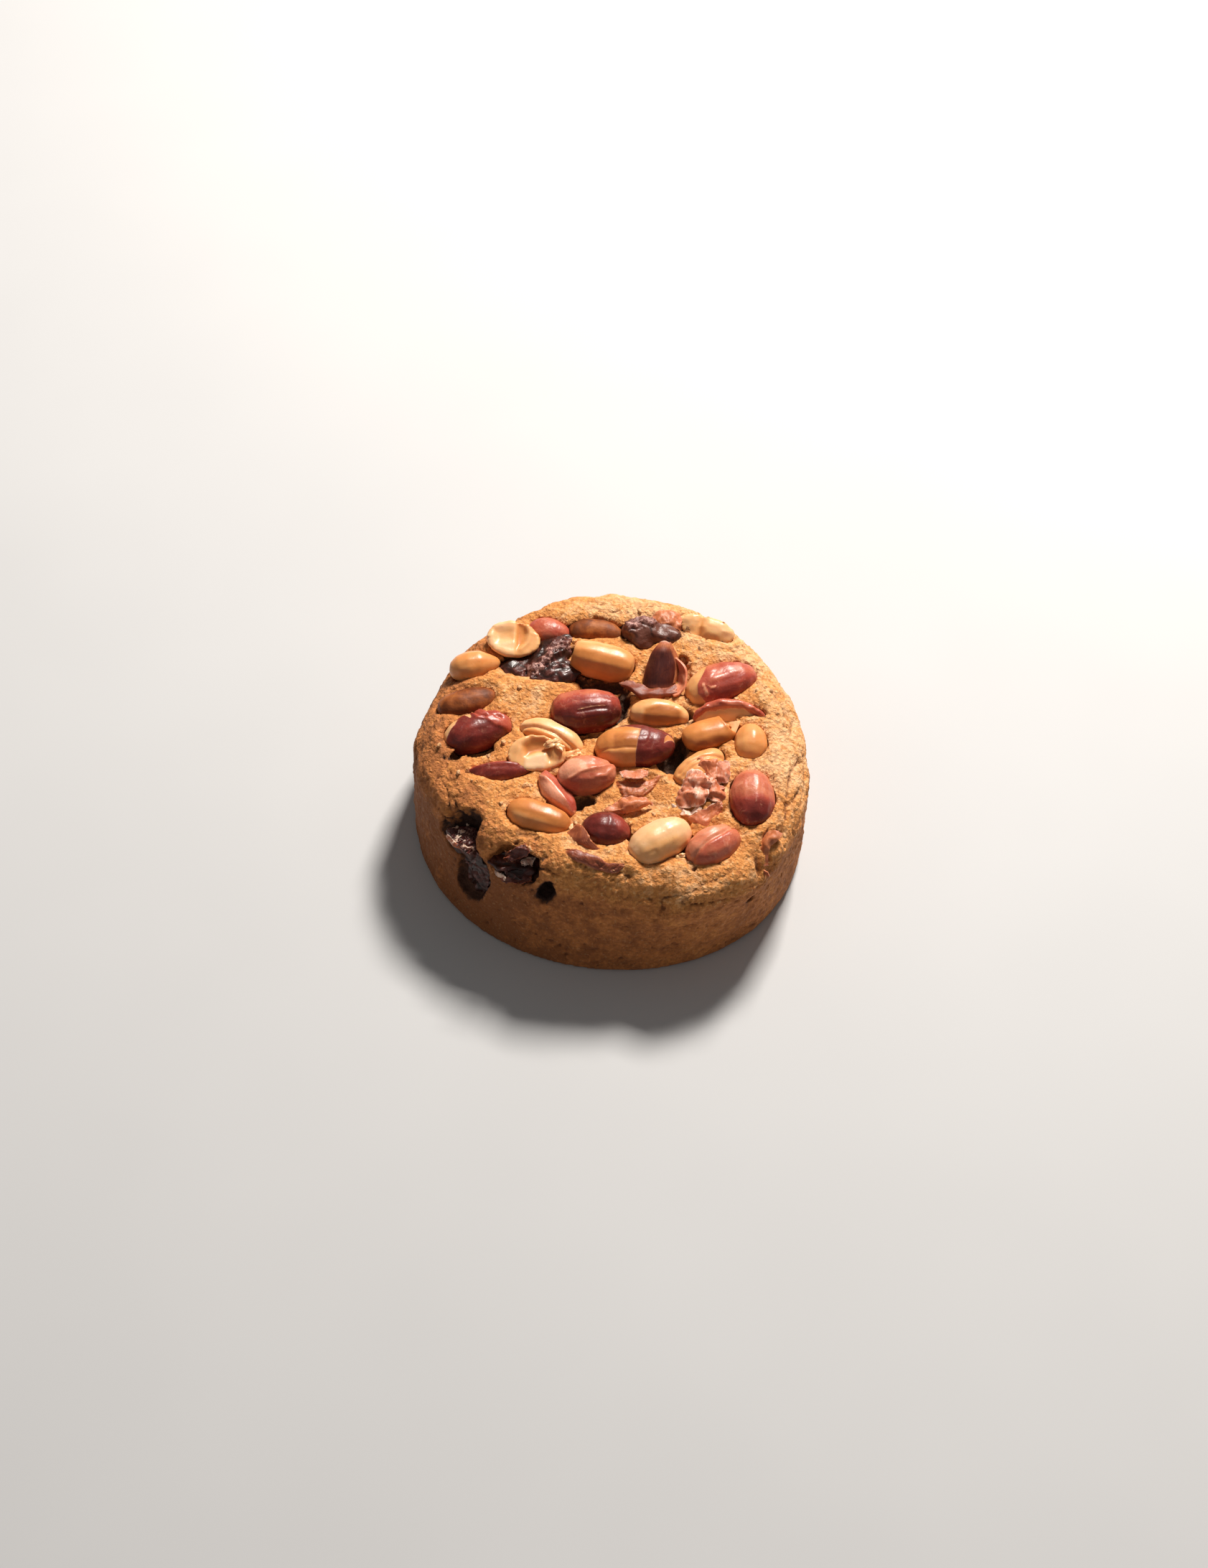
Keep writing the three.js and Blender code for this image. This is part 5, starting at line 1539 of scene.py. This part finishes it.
def add_lamp(name, place, size, power, tint):
    """A square soft lamp that looks at the cookie."""
    data = bpy.data.lights.new(name, "AREA")
    data.size, data.energy, data.color = size, power, tint
    lamp = bpy.data.objects.new(name, data)
    bpy.context.scene.collection.objects.link(lamp)
    lamp.location = place
    lamp.rotation_mode = "QUATERNION"
    lamp.rotation_quaternion = (COOKIE_MIDDLE - Vector(place)).to_track_quat("-Z", "Y")


def make_stage():
    """A plain pale floor, soft lamps with the strongest behind, and the photograph's camera."""
    floor = add_shape(bpy.ops.mesh.primitive_plane_add, "floor", size=6)
    make = Finish("pale_floor")
    tint = make.blend(make.clouds(60, 2), (0.56, 0.56, 0.57), (0.60, 0.60, 0.61))
    floor.data.materials.append(make.surface(tint, 0.75))

    add_lamp("key_lamp", (0.23, 0.56, 0.68), 0.18, 14.2, (1, 0.95, 0.88))
    add_lamp("fill_lamp", (-0.5, -0.75, 0.75), 0.9, 0.5, (1, 0.97, 0.94))
    scene = bpy.context.scene
    scene.view_settings.view_transform = "Standard"
    scene.world = scene.world or bpy.data.worlds.new("World")
    scene.world.use_nodes = True
    background = scene.world.node_tree.nodes["Background"]
    background.inputs["Color"].default_value = (1, 0.98, 0.95, 1)
    background.inputs["Strength"].default_value = 0.15

    down, tilt = math.radians(CAMERA["down"]), math.radians(CAMERA["tilt"])
    back, right = Vector((0, -math.cos(down), math.sin(down))), Vector((1, 0, 0))
    up = back.cross(right)
    right, up = math.cos(tilt) * right + math.sin(tilt) * up, math.cos(tilt) * up - math.sin(tilt) * right
    data = bpy.data.cameras.new("camera")
    data.lens, data.sensor_width, data.sensor_fit = CAMERA["lens"], 36, "AUTO"
    data.clip_start = 0.01
    camera = bpy.data.objects.new("camera", data)
    scene.collection.objects.link(camera)
    away, aside, raised = CAMERA["place"]
    camera.location = (back * away + right * aside + up * raised) * MM
    camera.rotation_mode = "QUATERNION"
    camera.rotation_quaternion = Matrix((right, up, back)).transposed().to_quaternion()
    scene.camera = camera


OPERATORS = (
    COOKIE_OT_stage, COOKIE_OT_blanched, COOKIE_OT_red, COOKIE_OT_torn, COOKIE_OT_dusted,
    COOKIE_OT_split, COOKIE_OT_chocolate, COOKIE_OT_dough, COOKIE_OT_skins, COOKIE_OT_crumbs,
)


def register():
    for cls in (CookieSizes, *OPERATORS, COOKIE_PT_panel):
        bpy.utils.register_class(cls)
    bpy.types.Scene.cookie_sizes = bpy.props.PointerProperty(type=CookieSizes)


def unregister():
    del bpy.types.Scene.cookie_sizes
    for cls in (COOKIE_PT_panel, *reversed(OPERATORS), CookieSizes):
        bpy.utils.unregister_class(cls)


def main():
    """Makes every piece in order."""
    register()
    for operator in OPERATORS:
        group, name = operator.bl_idname.split(".")
        if getattr(getattr(bpy.ops, group), name)() != {"FINISHED"}:
            raise RuntimeError(f"{operator.bl_label} didn't finish")


if __name__ == "__main__":
    main()
